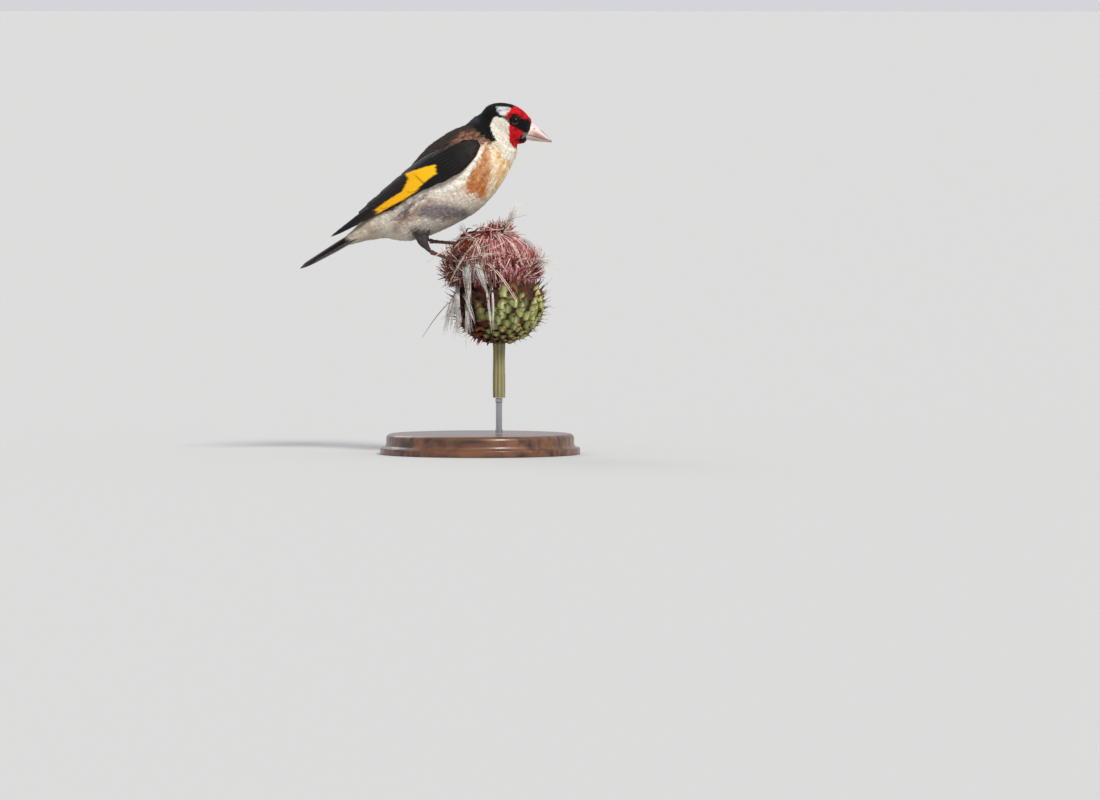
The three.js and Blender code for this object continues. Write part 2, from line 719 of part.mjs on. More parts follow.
// A bract: a keeled scale that leaves the bowl along its slope and bends out into a spine
function bract(i) {
  const share = lerp(BRACT_LOWEST, BRACT_HIGHEST, (i + 0.5) / BRACT_COUNT);
  const bearing = i * GOLDEN_ANGLE + 0.12 * draw();
  const step = 0.04;
  const radius = bowlRadius(share);
  const outward = new THREE.Vector3(Math.cos(bearing), Math.sin(bearing), 0);
  const sideways = new THREE.Vector3(-Math.sin(bearing), Math.cos(bearing), 0);
  const slope = outward
    .clone()
    .multiplyScalar(bowlRadius(share + step) - bowlRadius(share - step))
    .addScaledVector(new THREE.Vector3(0, 0, 1), 2 * step * bowlHeight)
    .normalize();
  const normal = sideways.clone().cross(slope);
  const root = new THREE.Vector3(...THISTLE_AXIS, BOWL_BOTTOM_Z + share * bowlHeight)
    .addScaledVector(outward, radius);
  const size = lerp(BRACT_SMALLEST, 1, smoothstep(share, 0, 0.4)) * (1 + 0.1 * draw());
  const length = BRACT_LENGTH * size;
  const half = BRACT_HALF_WIDTH * size;
  const tiltUp = 0.2 * draw();
  const rings = [BRACT_BASE, BRACT_MIDDLE, BRACT_SPINE].map((section) => {
    const centre = root
      .clone()
      .addScaledVector(slope, (section.rise + Math.max(0, section.out) * tiltUp) * length)
      .addScaledVector(normal, section.out * length);
    return ring(centre, sideways, normal, 4, (c, s) => [c * half * section.half, s * section.keel]);
  });
  return solid(skinOver(rings));
}

function bracts() {
  const scales = Array.from({ length: BRACT_COUNT }, (_, i) => bract(i));
  return joined([bowl(), ...scales])
    .trimByPlane([0, 0, -1], -BOWL_TOP_Z)
    .trimByPlane([0, 0, 1], BOWL_BOTTOM_Z);
}

// A tapered lock through a few points, flat across the given direction
function lock(points, across, half, widths) {
  const curve = new THREE.CatmullRomCurve3(points);
  const rings = widths.map((w, i) => {
    const t = i / (widths.length - 1);
    const tangent = curve.getTangent(t);
    const normal = tangent.clone().cross(across).normalize();
    const flat = normal.clone().cross(tangent);
    const thick = FLORET_THICKNESS * Math.max(w, 0.5);
    return ring(curve.getPoint(t), flat, normal, 3, (c, s) => [c * half * w, s * thick]);
  });
  return solid(skinOver(rings));
}

// The point on the tuft at an angle from its crown and a bearing, at a height over it
function onTuft(polar, bearing, height) {
  const out = new THREE.Vector3().setFromSphericalCoords(TUFT_RADIUS + height, polar, bearing);
  return TUFT_CENTRE.clone().add(new THREE.Vector3(out.x, out.z, out.y));
}

function floret(i) {
  const start = lerp(FLORET_FIRST, FLORET_LAST, Math.sqrt((i + 0.5) / FLORET_COUNT));
  const bearing = i * GOLDEN_ANGLE;
  const span = FLORET_SPAN * (1 + 0.25 * draw());
  const sway = (FLORET_SWAY * draw()) / Math.sin(degToRad(start + span / 2));
  const points = FLORET_HEIGHTS.map((height, k) =>
    onTuft(degToRad(start + (span * k) / 2), bearing + degToRad((sway * k) / 2), height));
  const across = points[2].clone().sub(points[0]).cross(points[1].clone().sub(TUFT_CENTRE)).normalize();
  return lock(points, across, FLORET_HALF_WIDTH * (1 + 0.2 * draw()), FLORET_WIDTHS);
}

// Long pale wisps hang over the bowl on the bird's near side
function wisp({ bearing, drop }) {
  const angle = degToRad(bearing);
  const at = (radius, z, turn) => new THREE.Vector3(
    THISTLE_AXIS[0] + radius * Math.cos(angle + turn),
    THISTLE_AXIS[1] + radius * Math.sin(angle + turn),
    z,
  );
  const [outermost, shoulder] = WISP_PATH.at(-1);
  const end = at(outermost, shoulder - drop, 0.12 * draw());
  const points = [...WISP_PATH.map(([radius, z]) => at(radius, z, 0)), end];
  const across = new THREE.Vector3(-Math.sin(angle), Math.cos(angle), 0);
  return lock(points, across, WISP_HALF_WIDTH, WISP_WIDTHS);
}

function florets() {
  const around = Array.from({ length: FLORET_COUNT }, (_, i) => floret(i));
  const ball = new THREE.SphereGeometry(TUFT_RADIUS, 16, 9).rotateX(Math.PI / 2);
  const tuft = joined([solid(ball.translate(...TUFT_CENTRE.toArray())), ...around])
    .trimByPlane([0, 0, 1], BOWL_TOP_Z + GAP);
  return joined([tuft, ...WISPS.map(wisp)]);
}

// A round post on the thistle's axis
function post(radius, lowZ, highZ) {
  const rod = new THREE.CylinderGeometry(radius, radius, highZ - lowZ, 16);
  return solid(rod.rotateX(Math.PI / 2).translate(...THISTLE_AXIS, (lowZ + highZ) / 2));
}

// Points of a quarter circle in a turned profile, between two angles in degrees
function quarter([centreRadius, centreZ], radius, from, to) {
  return [0, 0.5, 1].map((share) => {
    const angle = degToRad(lerp(from, to, share));
    return [centreRadius + radius * Math.cos(angle), centreZ + radius * Math.sin(angle)];
  });
}

function standBase() {
  const hollow = [BASE_RADIUS - BASE_LIP, BASE_FOOT + BASE_HOLLOW];
  const round = [hollow[0] - BASE_HOLLOW - BASE_ROUND, BASE_HEIGHT - BASE_ROUND];
  const profile = [
    [0, 0], [BASE_RADIUS, 0], [BASE_RADIUS, BASE_FOOT],
    ...quarter(hollow, BASE_HOLLOW, 270, 180),
    ...quarter(round, BASE_ROUND, 0, 90),
    [0, BASE_HEIGHT],
  ];
  const outline = profile.map(([r, z]) => new THREE.Vector2(r, z));
  return solid(new THREE.LatheGeometry(outline, BASE_SIDES).rotateX(Math.PI / 2));
}

const materials = {
  brown: new THREE.MeshStandardMaterial({ color: 0x6b4a35, roughness: 0.9 }),
  black: new THREE.MeshStandardMaterial({ color: 0x101012, roughness: 0.7 }),
  red: new THREE.MeshStandardMaterial({ color: 0xb0161a, roughness: 0.85 }),
  horn: new THREE.MeshStandardMaterial({ color: 0xd9b8ad, roughness: 0.45 }),
  eye: new THREE.MeshStandardMaterial({ color: 0x0b0807, roughness: 0.08 }),
  leg: new THREE.MeshStandardMaterial({ color: 0x4a3230, roughness: 0.6 }),
  thigh: new THREE.MeshStandardMaterial({ color: 0x4b4644, roughness: 0.9 }),
  bract: new THREE.MeshStandardMaterial({ color: 0x7f8a4a, roughness: 0.8 }),
  floret: new THREE.MeshStandardMaterial({ color: 0x8c4650, roughness: 0.9 }),
  wood: new THREE.MeshStandardMaterial({ color: 0x6d4a2f, roughness: 0.5 }),
  steel: new THREE.MeshStandardMaterial({ color: 0x8f9194, roughness: 0.35, metalness: 1 }),
};

const model = new THREE.Group();

function addNode(name, made, material) {
  const mesh = largest(made).getMesh();
  const geometry = new THREE.BufferGeometry()
    .setAttribute("position", new THREE.BufferAttribute(mesh.vertProperties, 3))
    .setIndex(new THREE.BufferAttribute(mesh.triVerts, 1));
  geometry.computeVertexNormals();
  const node = new THREE.Mesh(geometry, material);
  node.name = name;
  model.add(node);
}

const body = trunk(0, 26, 20).add(head(0, 12, 18));
const bodyClear = trunk(COARSE_GAP, 16, 14).add(head(COARSE_GAP, 7, 12));
const thighsClear = joined(Object.values(LEGS).map((leg) => thigh(leg, GAP)));
const tailClear = tailSpace(GAP);
const eyesClear = joined(Object.values(sides).map((side) => eyeBall(side, GAP)));
const lids = joined(Object.values(sides).map(lidRing));

const torso = cutAt(body, TORSO_END, false).subtract(tailClear).subtract(thighsClear);
const neck = cutAt(cutAt(body, TORSO_END, true), NECK_END, false);
const faceWithLids = cutAt(body, NECK_END, true).add(lids);

addNode("torso", torso, materials.brown);
addNode("neck", neck, materials.brown);
addNode("head", faceWithLids.subtract(eyesClear).subtract(billCone(GAP)), materials.red);
addNode("bill_upper", billHalf(true).subtract(nostrils()), materials.horn);
addNode("bill_lower", billHalf(false), materials.horn);
addNode("tail", tail(), materials.black);

const legsClear = [];
for (const [name, side] of Object.entries(sides)) {
  const leg = LEGS[name];
  addNode(`eye_${name}`, eyeBall(side, 0), materials.eye);
  addNode(`wing_${name}`, wing(side).subtract(bodyClear).subtract(tailClear), materials.black);
  addNode(`thigh_${name}`, thigh(leg, 0), materials.thigh);
  addNode(`shank_${name}`, shank(leg, 0, 1).subtract(thigh(leg, GAP)), materials.leg);
  addNode(`foot_${name}`, foot(leg, 0).subtract(shank(leg, GAP, 1 - GAP)), materials.leg);
  legsClear.push(foot(leg, GAP), shank(leg, GAP, 1), thigh(leg, GAP));
  for (const toe of TOES) {
    addNode(`claw_${name}_${toe.name}`, claw(leg, toe, 0), materials.leg);
    legsClear.push(claw(leg, toe, GAP));
  }
}

addNode("perch_florets", florets().subtract(joined(legsClear)), materials.floret);
addNode("perch_bracts", bracts(), materials.bract);
addNode("perch_stem", post(STEM_RADIUS, STEM_CUT_Z, BOWL_BOTTOM_Z - GAP), materials.bract);
addNode("stand_rod", post(ROD_RADIUS, BASE_HEIGHT + GAP, STEM_CUT_Z - GAP), materials.steel);
addNode("stand_base", standBase(), materials.wood);

export default model;
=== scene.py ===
"""European goldfinch on a dry thistle head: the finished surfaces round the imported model.

Shapes are worked out in millimetres in the model's own frame and become metres when a mesh is made.
+X is the way the bird faces, +Z is up, and the bird's right side is at -Y.
"""

import math

import bpy
import numpy as np
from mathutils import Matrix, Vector
from mathutils.bvhtree import BVHTree


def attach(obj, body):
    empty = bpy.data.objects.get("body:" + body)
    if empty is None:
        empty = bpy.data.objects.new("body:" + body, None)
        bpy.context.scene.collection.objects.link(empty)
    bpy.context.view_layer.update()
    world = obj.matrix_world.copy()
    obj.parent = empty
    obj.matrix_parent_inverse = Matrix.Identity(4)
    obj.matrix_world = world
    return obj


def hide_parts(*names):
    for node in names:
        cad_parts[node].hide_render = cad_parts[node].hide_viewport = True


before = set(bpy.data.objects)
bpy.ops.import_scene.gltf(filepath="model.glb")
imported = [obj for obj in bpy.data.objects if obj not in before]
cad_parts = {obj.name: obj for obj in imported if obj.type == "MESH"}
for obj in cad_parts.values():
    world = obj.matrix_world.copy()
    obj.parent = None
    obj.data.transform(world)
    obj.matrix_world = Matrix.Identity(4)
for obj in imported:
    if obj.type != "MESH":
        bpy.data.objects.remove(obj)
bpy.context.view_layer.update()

MM = 0.001
rng = np.random.default_rng(20117)

# Trunk stations along the spine: x, z, and how far the plumage reaches up, down and sideways
TRUNK = np.array([
    (-64.2, 91.5, 0.8, 0.8, 1.6),
    (-58.5, 94.3, 2.0, 2.9, 3.6),
    (-52.4, 98.1, 3.4, 5.2, 5.8),
    (-43.6, 103.1, 6.4, 8.9, 9.2),
    (-33.0, 106.6, 11.4, 13.5, 12.8),
    (-22.9, 113.2, 15.3, 16.3, 15.4),
    (-11.9, 121.4, 18.0, 18.0, 16.4),
    (-3.1, 129.3, 16.7, 16.7, 15.4),
    (2.9, 135.2, 14.4, 14.2, 12.4),
    (6.6, 140.3, 12.9, 12.5, 10.2),
    (9.7, 144.3, 11.3, 9.8, 8.2),
])

# Head stations along an axis that dips towards the bill: place, reach up, down and sideways
HEAD_CENTRE = np.array([11.0, 0.0, 145.8])
HEAD_PITCH = math.radians(-22)
HEAD = np.array([
    (-10.8, 1.6, 1.6, 1.6),
    (-9.6, 4.6, 4.6, 4.4),
    (-6.5, 7.2, 7.7, 7.0),
    (-1.8, 8.8, 9.2, 8.4),
    (2.8, 8.9, 8.8, 8.3),
    (6.6, 7.9, 7.6, 7.1),
    (9.6, 5.9, 6.0, 5.3),
    (11.4, 4.3, 4.5, 4.0),
    (12.4, 2.9, 3.1, 2.7),
])
BODY_COAT = 1.25
HEAD_COAT = 0.7

# Eye, in the head's own directions: along the axis, above it and out from the midplane
EYE_ALONG, EYE_UP, EYE_SIDE, EYE_RADIUS = 4.1, 2.9, 6.15, 2.2
LID_RADIUS, LID_HALF_WIDTH, LID_HALF_THICKNESS = 1.72, 0.36, 0.1
PUPIL_RADIUS, IRIS_FROM = 0.85, 1.0

# Bill: its ends, and its reach up, down and sideways at shares of the way to the tip
BILL_GAPE = np.array([19.6, 0.0, 141.0])
BILL_TIP = np.array([31.5, 0.0, 137.5])
BILL = np.array([
    (0.0, 5.0, 2.6, 3.5),
    (0.19, 5.45, 2.25, 3.35),
    (0.31, 4.8, 2.0, 3.0),
    (0.57, 3.35, 1.45, 2.0),
    (0.83, 1.6, 0.75, 0.95),
    (1.0, 0.35, 0.3, 0.3),
])
NOSTRIL_ALONG, NOSTRIL_UP, NOSTRIL_RADIUS, NOSTRIL_DEPTH = 0.3, 3.3, 0.4, 0.4
MOUTH_GAP = 0.07

# Folded wing: a sheet along the line from the bend to the tip. Columns: distance along, distance
# from the midplane, tilt, radius, lower edge, upper edge, thickness outwards, depth inwards.
WING_BEND = np.array([0.5, 0.0, 137.0])
WING_TIP = np.array([-65.8, 0.0, 95.6])
WING = np.array([
    (0.0, 13.0, 22, 15, -0.9, 1.6, 0.7, 2.0),
    (4.0, 14.6, 23, 16, -4.2, 3.6, 1.5, 2.0),
    (12.0, 15.8, 24, 17, -6.6, 5.2, 1.9, 2.0),
    (22.0, 15.0, 28, 17, -6.6, 6.8, 2.0, 2.0),
    (33.0, 12.4, 34, 17, -5.0, 8.6, 2.0, 2.0),
    (44.0, 9.3, 39, 18, -4.3, 8.2, 1.9, 1.6),
    (55.0, 6.9, 43, 20, -3.8, 6.2, 1.6, 0.8),
    (66.0, 5.0, 45, 24, -2.9, 3.8, 1.3, 0.5),
    (74.0, 4.0, 45, 28, -1.8, 1.9, 1.0, 0.3),
    (78.2, 3.6, 45, 30, -0.3, 0.3, 0.8, 0.2),
])
WING_CORE_END = 62.0

# Tiers of wing feathers from the innermost: how many, the distances of their tips from the lowest
# to the highest, the ends of the lines of roots and of tips on the sheet, half width, lift, shape
WING_TIERS = [
    dict(name="primaries", count=8, tips_at=(76.2, 78.2, 76.2, 73.0, 69.6, 66.0, 62.4),
         roots=((9, -5.0), (24, -1.8)), tips=(-0.5, 1.7), half=1.75, lift=(0.45, 0.78), shape="pointed"),
    dict(name="secondaries", count=6, tips_at=(52.5, 57.4),
         roots=((15, -3.4), (17, 3.8)), tips=(-1.9, 3.4), half=2.1, lift=(0.7, 0.92), shape="blunt"),
    dict(name="tertials", count=3, tips_at=(50, 44, 38),
         roots=((16, 3.6), (15, 5.4)), tips=(4.6, 6.3), half=2.9, lift=(0.96, 1.1), shape="round"),
    dict(name="primary_coverts", count=5, tips_at=(32, 38),
         roots=((13, -5.7), (16, -4.2)), tips=(-4.7, -2.7), half=1.0, lift=(0.74, 0.84), shape="blunt"),
    dict(name="alula", count=3, tips_at=(23.5, 28),
         roots=((9, -5.6), (10, -4.6)), tips=(-6.0, -4.8), half=0.95, lift=(0.86, 0.94), shape="blunt"),
    dict(name="greater_coverts", count=9, tips_at=(30, 33),
         roots=((12, -3.7), (13, 4.6)), tips=(-3.2, 5.9), half=1.25, lift=(0.98, 1.14), shape="round"),
    dict(name="median_coverts", count=7, tips_at=(18.5, 21),
         roots=((6, -3.4), (6, 3.6)), tips=(-5.0, 4.9), half=1.35, lift=(1.14, 1.24), shape="round"),
]
VANE_THICKNESS, LONG_FEATHER = 0.22, 24
LESSER_COVERTS, LESSER_COVERTS_ON_TOP, LESSER_COVERTS_END = 1400, 0.35, 13.5

# Yellow wing patch on the sheet, as distances along it and across it
YELLOW_PATCH = [(21.2, 1.3), (22.7, -2.4), (30.2, -3.0), (34.7, -4.3), (41.9, -4.6), (54.3, -4.0),
                (55.1, -1.4), (48.9, -1.1), (39.9, -1.0), (34.5, 2.6), (35.0, 5.9), (28.0, 3.6)]

# Tail: root, tip, then share of the way, and the reach up, down and sideways
TAIL_ROOT = np.array([-40.5, 0.0, 105.6])
TAIL_TIP = np.array([-79.6, 0.0, 82.4])
TAIL = np.array([
    (0.0, 1.2, 2.2, 3.2),
    (0.3, 1.4, 3.0, 4.4),
    (0.55, 1.3, 3.0, 5.3),
    (0.8, 0.9, 2.4, 6.1),
    (1.0, 0.5, 1.5, 6.1),
])
# Shares of the spine behind which the tail covers the back, and behind which the body is bare
TAIL_COVERS_TO, BODY_END = 0.15, 0.03
TAIL_PAIRS, TAIL_ROOF, TAIL_VANE_HALF, TAIL_FORK = 6, 0.2, 2.5, 2.2

# Legs: thigh stations x, y, z, radius from the flank to the heel, and the ball of the foot
LEGS = {
    "right": dict(thigh=np.array([(-25.5, -6.5, 101.0, 3.8), (-25.0, -6.1, 94.6, 2.9),
                                  (-23.1, -5.0, 91.2, 1.6), (-21.2, -4.3, 88.9, 1.15)]),
                  ball=np.array([-12.2, -12.5, 86.0])),
    "left": dict(thigh=np.array([(-27.0, 6.5, 104.5, 3.8), (-26.0, 6.6, 98.5, 2.8),
                                 (-24.6, 6.6, 95.6, 1.6), (-22.9, 6.5, 93.6, 1.15)]),
                 ball=np.array([-10.4, 4.5, 92.6])),
}
TOE_RADIUS, CLAW_LENGTH, PLATE_DEPTH = 0.8, 3.6, 0.16
THIGH_TOP = 6.5
# Radii of a shank, and swellings of a toe over its joints, at even steps
SHANK_RADII = np.array([[1.12], [0.8], [0.74], [0.8], [0.95]])
TOE_SWELLING = np.array([[1.2], [1.02], [0.92], [1.02], [0.86], [0.72]])
# Toes: name, turn from straight ahead in degrees, and length
TOES = [("inner", -38, 7.4), ("middle", 0, 10.0), ("outer", 36, 7.6), ("hind", 180, 6.6)]

# Thistle: bowl of bracts on its axis, and the tuft of dry florets on top
THISTLE_AXIS = np.array([8.4, -1.5])
BOWL_BOTTOM_Z, BOWL_TOP_Z, BOWL_RADIUS = 49.0, 75.0, 19.5
BOWL_PROFILE = np.array([(0.22, 0.0), (0.6, 0.12), (0.9, 0.36), (1.0, 0.62), (0.96, 0.85), (0.84, 1.0)])
TUFT_CENTRE, TUFT_RADIUS = np.array([5.0, -2.5, 81.1]), 18.6
STEM_RADIUS, STEM_CUT_Z, STEM_HAIRS = 2.8, 25.0, 260

# Stand: rod, the gap it leaves at each end, and the base with its foot, lip, hollow and rounding
ROD_RADIUS, GAP = 1.6, 0.32
BASE_RADIUS, BASE_HEIGHT = 44.0, 9.0
BASE_FOOT, BASE_LIP, BASE_HOLLOW, BASE_ROUND = 3.0, 0.6, 2.0, 2.0
GOLDEN_ANGLE = math.pi * (3 - math.sqrt(5))
ACROSS = np.array([0.0, 1.0, 0.0])
SIDE_HINT = np.array([0.3, 1.0, 0.2])


def srgb(red, green, blue):
    """Linear colour of an 8-bit screen colour."""
    c = np.array([red, green, blue]) / 255
    return np.where(c <= 0.04045, c / 12.92, ((c + 0.055) / 1.055) ** 2.4)


MANTLE = srgb(66, 50, 40)
MANTLE_DARK = srgb(34, 28, 26)
RUMP = srgb(196, 180, 158)
HOOD = srgb(9, 8, 10)
# Painted sheen: a blue-grey reflection of light on the black nape
HOOD_PAINTED_SHEEN = srgb(66, 70, 84)
EAR_WHITE = srgb(212, 209, 208)
EAR_GREY = srgb(126, 132, 148)
CHEEK = srgb(226, 219, 205)
CHEEK_CREAM = srgb(198, 184, 148)
WHITE = srgb(240, 237, 230)
RED = srgb(206, 16, 24)
RED_DARK = srgb(120, 4, 12)
LORE = srgb(9, 8, 9)
GAPE_GREY = srgb(150, 142, 146)
BUFF = srgb(174, 106, 60)
BUFF_DEEP = srgb(178, 98, 34)
BUFF_PALE = srgb(216, 170, 108)
CREAM = srgb(230, 214, 184)
BELLY = srgb(212, 202, 188)
# Grey of a shadow painted across the belly, and the base of the darker flank streaks
SHADOW_AND_FLANK_GREY = srgb(112, 104, 108)
RUST = srgb(136, 82, 56)
FRINGE = srgb(138, 98, 78)
UNDERTAIL = srgb(200, 188, 170)
VENT = srgb(150, 128, 112)
THIGH = srgb(74, 68, 68)
WING_BLACK = srgb(8, 7, 9)
WING_BROWN = srgb(66, 50, 42)
YELLOW = srgb(245, 186, 8)
YELLOW_DEEP = srgb(226, 150, 4)
TIP_WHITE = srgb(210, 204, 196)
EYE_BLACK = srgb(3, 3, 4)
IRIS = srgb(34, 18, 12)
LID_BLACK = srgb(5, 5, 5)
LID_PALE = srgb(138, 128, 124)
BILL_PALE = srgb(222, 202, 194)
BILL_PINK = srgb(146, 96, 86)
BILL_DARK = srgb(62, 42, 42)
MOUTH_LINE = srgb(110, 76, 72)
NOSTRIL_DARK = srgb(70, 44, 42)
SCUTE = srgb(92, 62, 56)
SCUTE_GROOVE = srgb(34, 22, 22)
CLAW = srgb(58, 40, 36)
CLAW_TIP = srgb(20, 14, 14)
BOWL_BROWN = srgb(60, 40, 28)
BRACT_GREENS = (srgb(84, 94, 44), srgb(158, 164, 88))
BRACT_BROWNS = (srgb(46, 30, 24), srgb(112, 54, 38))
# Painted highlight along the keel of a bract on the lit side
BRACT_KEEL_HIGHLIGHT = srgb(228, 226, 168)
BRACT_EDGE = srgb(46, 30, 20)
BRACT_RED = srgb(128, 62, 36)
BRACT_SPINE = srgb(44, 22, 16)
TUFT_BROWN = srgb(58, 30, 26)
STEM_GREEN = srgb(150, 146, 104)
STEM_GROOVE = srgb(104, 84, 58)
STEM_HAIR = srgb(206, 200, 176)
WOOD_DARK = srgb(52, 30, 18)
WOOD_LIGHT = srgb(118, 74, 44)
WOOD = srgb(90, 56, 34)
STEEL = srgb(170, 172, 176)

# Markings, and one shadow painted on the belly, seen from the side, as outlines of x and z in millimetres
HOOD_OUTLINE = [(13.0, 158.0), (17.6, 153.6), (14.0, 151.6), (7.5, 148.6), (5.2, 145.4), (6.1, 141.8),
                (7.2, 137.8), (4.8, 137.8), (1.8, 140.1), (-1.6, 143.4), (-4.2, 146.6), (-6.5, 152.0)]
EAR_OUTLINE = [(7.1, 153.2), (10.6, 153.1), (13.7, 152.6), (14.0, 152.0), (11.8, 149.8), (11.6, 148.8),
               (10.4, 148.9), (8.6, 149.6), (7.4, 151.3)]
EYE_LINE_OUTLINE = [(5.6, 150.7), (8.4, 149.8), (10.4, 149.1), (12.4, 149.0), (13.4, 147.6), (13.7, 145.2),
                    (12.5, 146.0), (11.2, 147.4), (9.7, 148.1), (7.0, 148.7), (5.4, 149.0)]
GAPE_OUTLINE = [(18.9, 141.0), (19.8, 141.9), (21.4, 141.5), (21.6, 139.8), (20.2, 139.2), (19.2, 139.8)]
CHEEK_OUTLINE = [(6.1, 148.3), (7.2, 148.7), (10.3, 148.0), (11.8, 147.0), (13.4, 144.9), (12.9, 141.8),
                 (12.6, 138.7), (13.7, 136.6), (15.2, 134.5), (17.2, 133.0), (15.8, 129.5), (10.1, 130.4),
                 (8.4, 134.1), (7.5, 135.9), (6.8, 138.7), (5.8, 141.8), (4.8, 143.3), (4.8, 145.2)]
RED_OUTLINE = [(11.7, 148.9), (12.5, 150.4), (14.0, 152.3), (16.2, 153.2), (16.9, 156.0), (22.0, 156.0),
               (27.0, 150.0), (27.0, 136.0), (22.0, 133.6), (17.2, 133.8), (15.9, 134.2), (14.8, 135.6),
               (13.1, 137.5), (12.9, 140.6), (13.1, 143.0), (13.2, 145.0), (12.5, 147.2)]
LORE_OUTLINE = [(12.4, 147.9), (13.5, 148.9), (15.6, 149.1), (17.7, 148.2), (19.9, 147.6), (22.0, 146.8),
                (25.6, 145.8), (24.0, 141.0), (21.3, 141.2), (18.9, 142.1), (16.8, 143.0), (14.9, 144.4),
                (13.2, 145.4)]
CHIN_OUTLINE = [(18.2, 140.0), (20.2, 141.6), (24.0, 141.4), (23.0, 137.6), (19.6, 137.0), (17.2, 137.9)]
FRINGE_OUTLINE = [(-5.3, 143.2), (-1.8, 142.9), (1.8, 141.0), (5.3, 138.3), (6.2, 135.2), (3.1, 135.7),
                  (0.0, 137.4), (-3.6, 138.6), (-6.5, 136.6), (-9.5, 134.0), (-12.5, 132.0), (-14.0, 133.4),
                  (-10.6, 139.0)]
BUFF_OUTLINE = [(-0.5, 136.6), (4.0, 135.7), (4.8, 130.0), (5.6, 124.3), (4.0, 118.6), (2.7, 113.7),
                (-0.1, 114.5), (-3.4, 116.1), (-5.8, 118.6), (-4.2, 123.4), (-2.6, 128.3)]
BUFF_FRONT_OUTLINE = [(7.2, 134.1), (13.7, 131.6), (13.6, 126.7), (10.1, 121.6), (6.8, 116.3), (7.5, 124.2)]
FLANK_OUTLINE = [(-22.0, 116.6), (-27.0, 113.6), (-37.0, 106.0), (-36.0, 103.0), (-30.0, 106.0),
                 (-23.0, 111.5)]
# Not a marking: the outline of a shadow painted across the belly
BELLY_SHADOW_OUTLINE = [(-25.3, 110.4), (-14.7, 111.3), (-5.0, 108.8), (-4.2, 105.5), (-14.7, 103.9),
                  (-26.1, 105.5)]
RUST_OUTLINE = [(-21.1, 113.7), (-17.6, 111.9), (-21.1, 108.4), (-26.4, 105.8), (-31.7, 102.2),
                (-35.2, 100.5), (-36.1, 103.6), (-31.7, 107.5), (-26.4, 110.6)]
WING_FRINGE_OUTLINE = [(0.3, 135.7), (-1.8, 130.8), (-5.0, 126.7), (-9.9, 121.0), (-14.7, 118.6),
                       (-18.8, 117.0), (-18.0, 115.5), (-13.8, 116.8), (-8.6, 119.2), (-3.4, 125.0),
                       (0.0, 129.8), (1.6, 134.5)]

# The outlines are seen from this far round the bird, and streaks of colour run along this slope
VIEW_AZIMUTH = math.radians(4)
STREAK_SLOPE = math.radians(42)
STREAK_TURN = np.array([[math.cos(STREAK_SLOPE), 0, -math.sin(STREAK_SLOPE)], [0, 1, 0],
                        [math.sin(STREAK_SLOPE), 0, math.cos(STREAK_SLOPE)]])
# Middle of the sheen painted on the nape, as seen from the side: a reflection of light, not a marking
PAINTED_SHEEN_PLACE = np.array([-2.2, 147.2])


# Plain geometry

def unit(v):
    return v / np.maximum(np.linalg.norm(v, axis=-1, keepdims=True), 1e-9)


def smoothstep(x, low, high):
    t = np.clip((x - low) / (high - low), 0, 1)
    return t * t * (3 - 2 * t)


def mix(a, b, share):
    return a + (b - a) * share


def through(stations, shares):
    """Smooth values at shares of the way along evenly spaced stations."""
    padded = np.vstack([2 * stations[0] - stations[1], stations, 2 * stations[-1] - stations[-2]])
    last = len(stations) - 1
    place = np.clip(shares, 0, 1) * last
    i = np.minimum(place.astype(int), last - 1)
    w = (place - i)[:, None]
    a, b, c, d = (padded[i + k] for k in range(4))
    start, end = (c - a) / 2, (d - b) / 2
    bend = 3 * (c - b) - 2 * start - end
    return b + w * (start + w * (bend + w * (2 * (b - c) + start + end)))


def through_places(stations, values):
    """Smooth values of the other columns where the stations' first column takes the given values."""
    last = len(stations) - 1
    shares = np.interp(values, stations[:, 0], np.arange(last + 1)) / last
    return through(stations[:, 1:], shares)


def slopes(points):
    return unit(np.gradient(points, axis=0))


def full_turn(sides):
    return np.linspace(0, 2 * math.pi, sides, endpoint=False)


def flattened(ways, normals):
    """Directions turned to lie flat on a surface with the given normals."""
    return unit(ways - normals * (ways * normals).sum(1, keepdims=True))


def wall_faces(ring_count, sides):
    """Triangles between rings of points, where each ring closes on itself."""
    i, j = np.meshgrid(np.arange(ring_count - 1), np.arange(sides), indexing="ij")
    a = (i * sides + j).ravel()
    b = (i * sides + (j + 1) % sides).ravel()
    return np.concatenate([np.stack([a, b, b + sides], 1), np.stack([a, b + sides, a + sides], 1)])


def tube_faces(ring_count, sides):
    """Triangles of a closed tube of rings, with its two ends closed by fans."""
    k = np.arange(sides)
    n = (k + 1) % sides
    first, top = ring_count * sides, (ring_count - 1) * sides
    start = np.stack([np.full(sides, first), n, k], 1)
    end = np.stack([np.full(sides, first + 1), top + k, top + n], 1)
    return np.concatenate([wall_faces(ring_count, sides), start, end])


def facing_out(points, faces):
    """The triangles of a closed shape, turned over if they face inwards."""
    p, q, r = (points[faces[:, k]] for k in range(3))
    return faces[:, ::-1] if (p * np.cross(q, r)).sum() < 0 else faces


def tube(rings):
    """Points and triangles of a closed tube through rings of points."""
    points = np.concatenate([rings.reshape(-1, 3), rings[0].mean(0)[None], rings[-1].mean(0)[None]])
    return points, facing_out(points, tube_faces(*rings.shape[:2]))


def across_line(line, hint):
    """Directions to the side of a line of points and above it."""
    ways = slopes(line)
    right = unit(np.cross(hint, ways))
    return right, np.cross(ways, right)


def rings_on(line, reach, right, up, a):
    """Rings of points round a line, at angles and at distances from it."""
    return line[:, None] + reach * (np.cos(a)[:, None] * right[:, None] + np.sin(a)[:, None] * up[:, None])


def round_tube(line, radii, sides):
    """A closed tube of round section along a line of points."""
    return tube(rings_on(line, radii[:, None, None], *across_line(line, SIDE_HINT), full_turn(sides)))


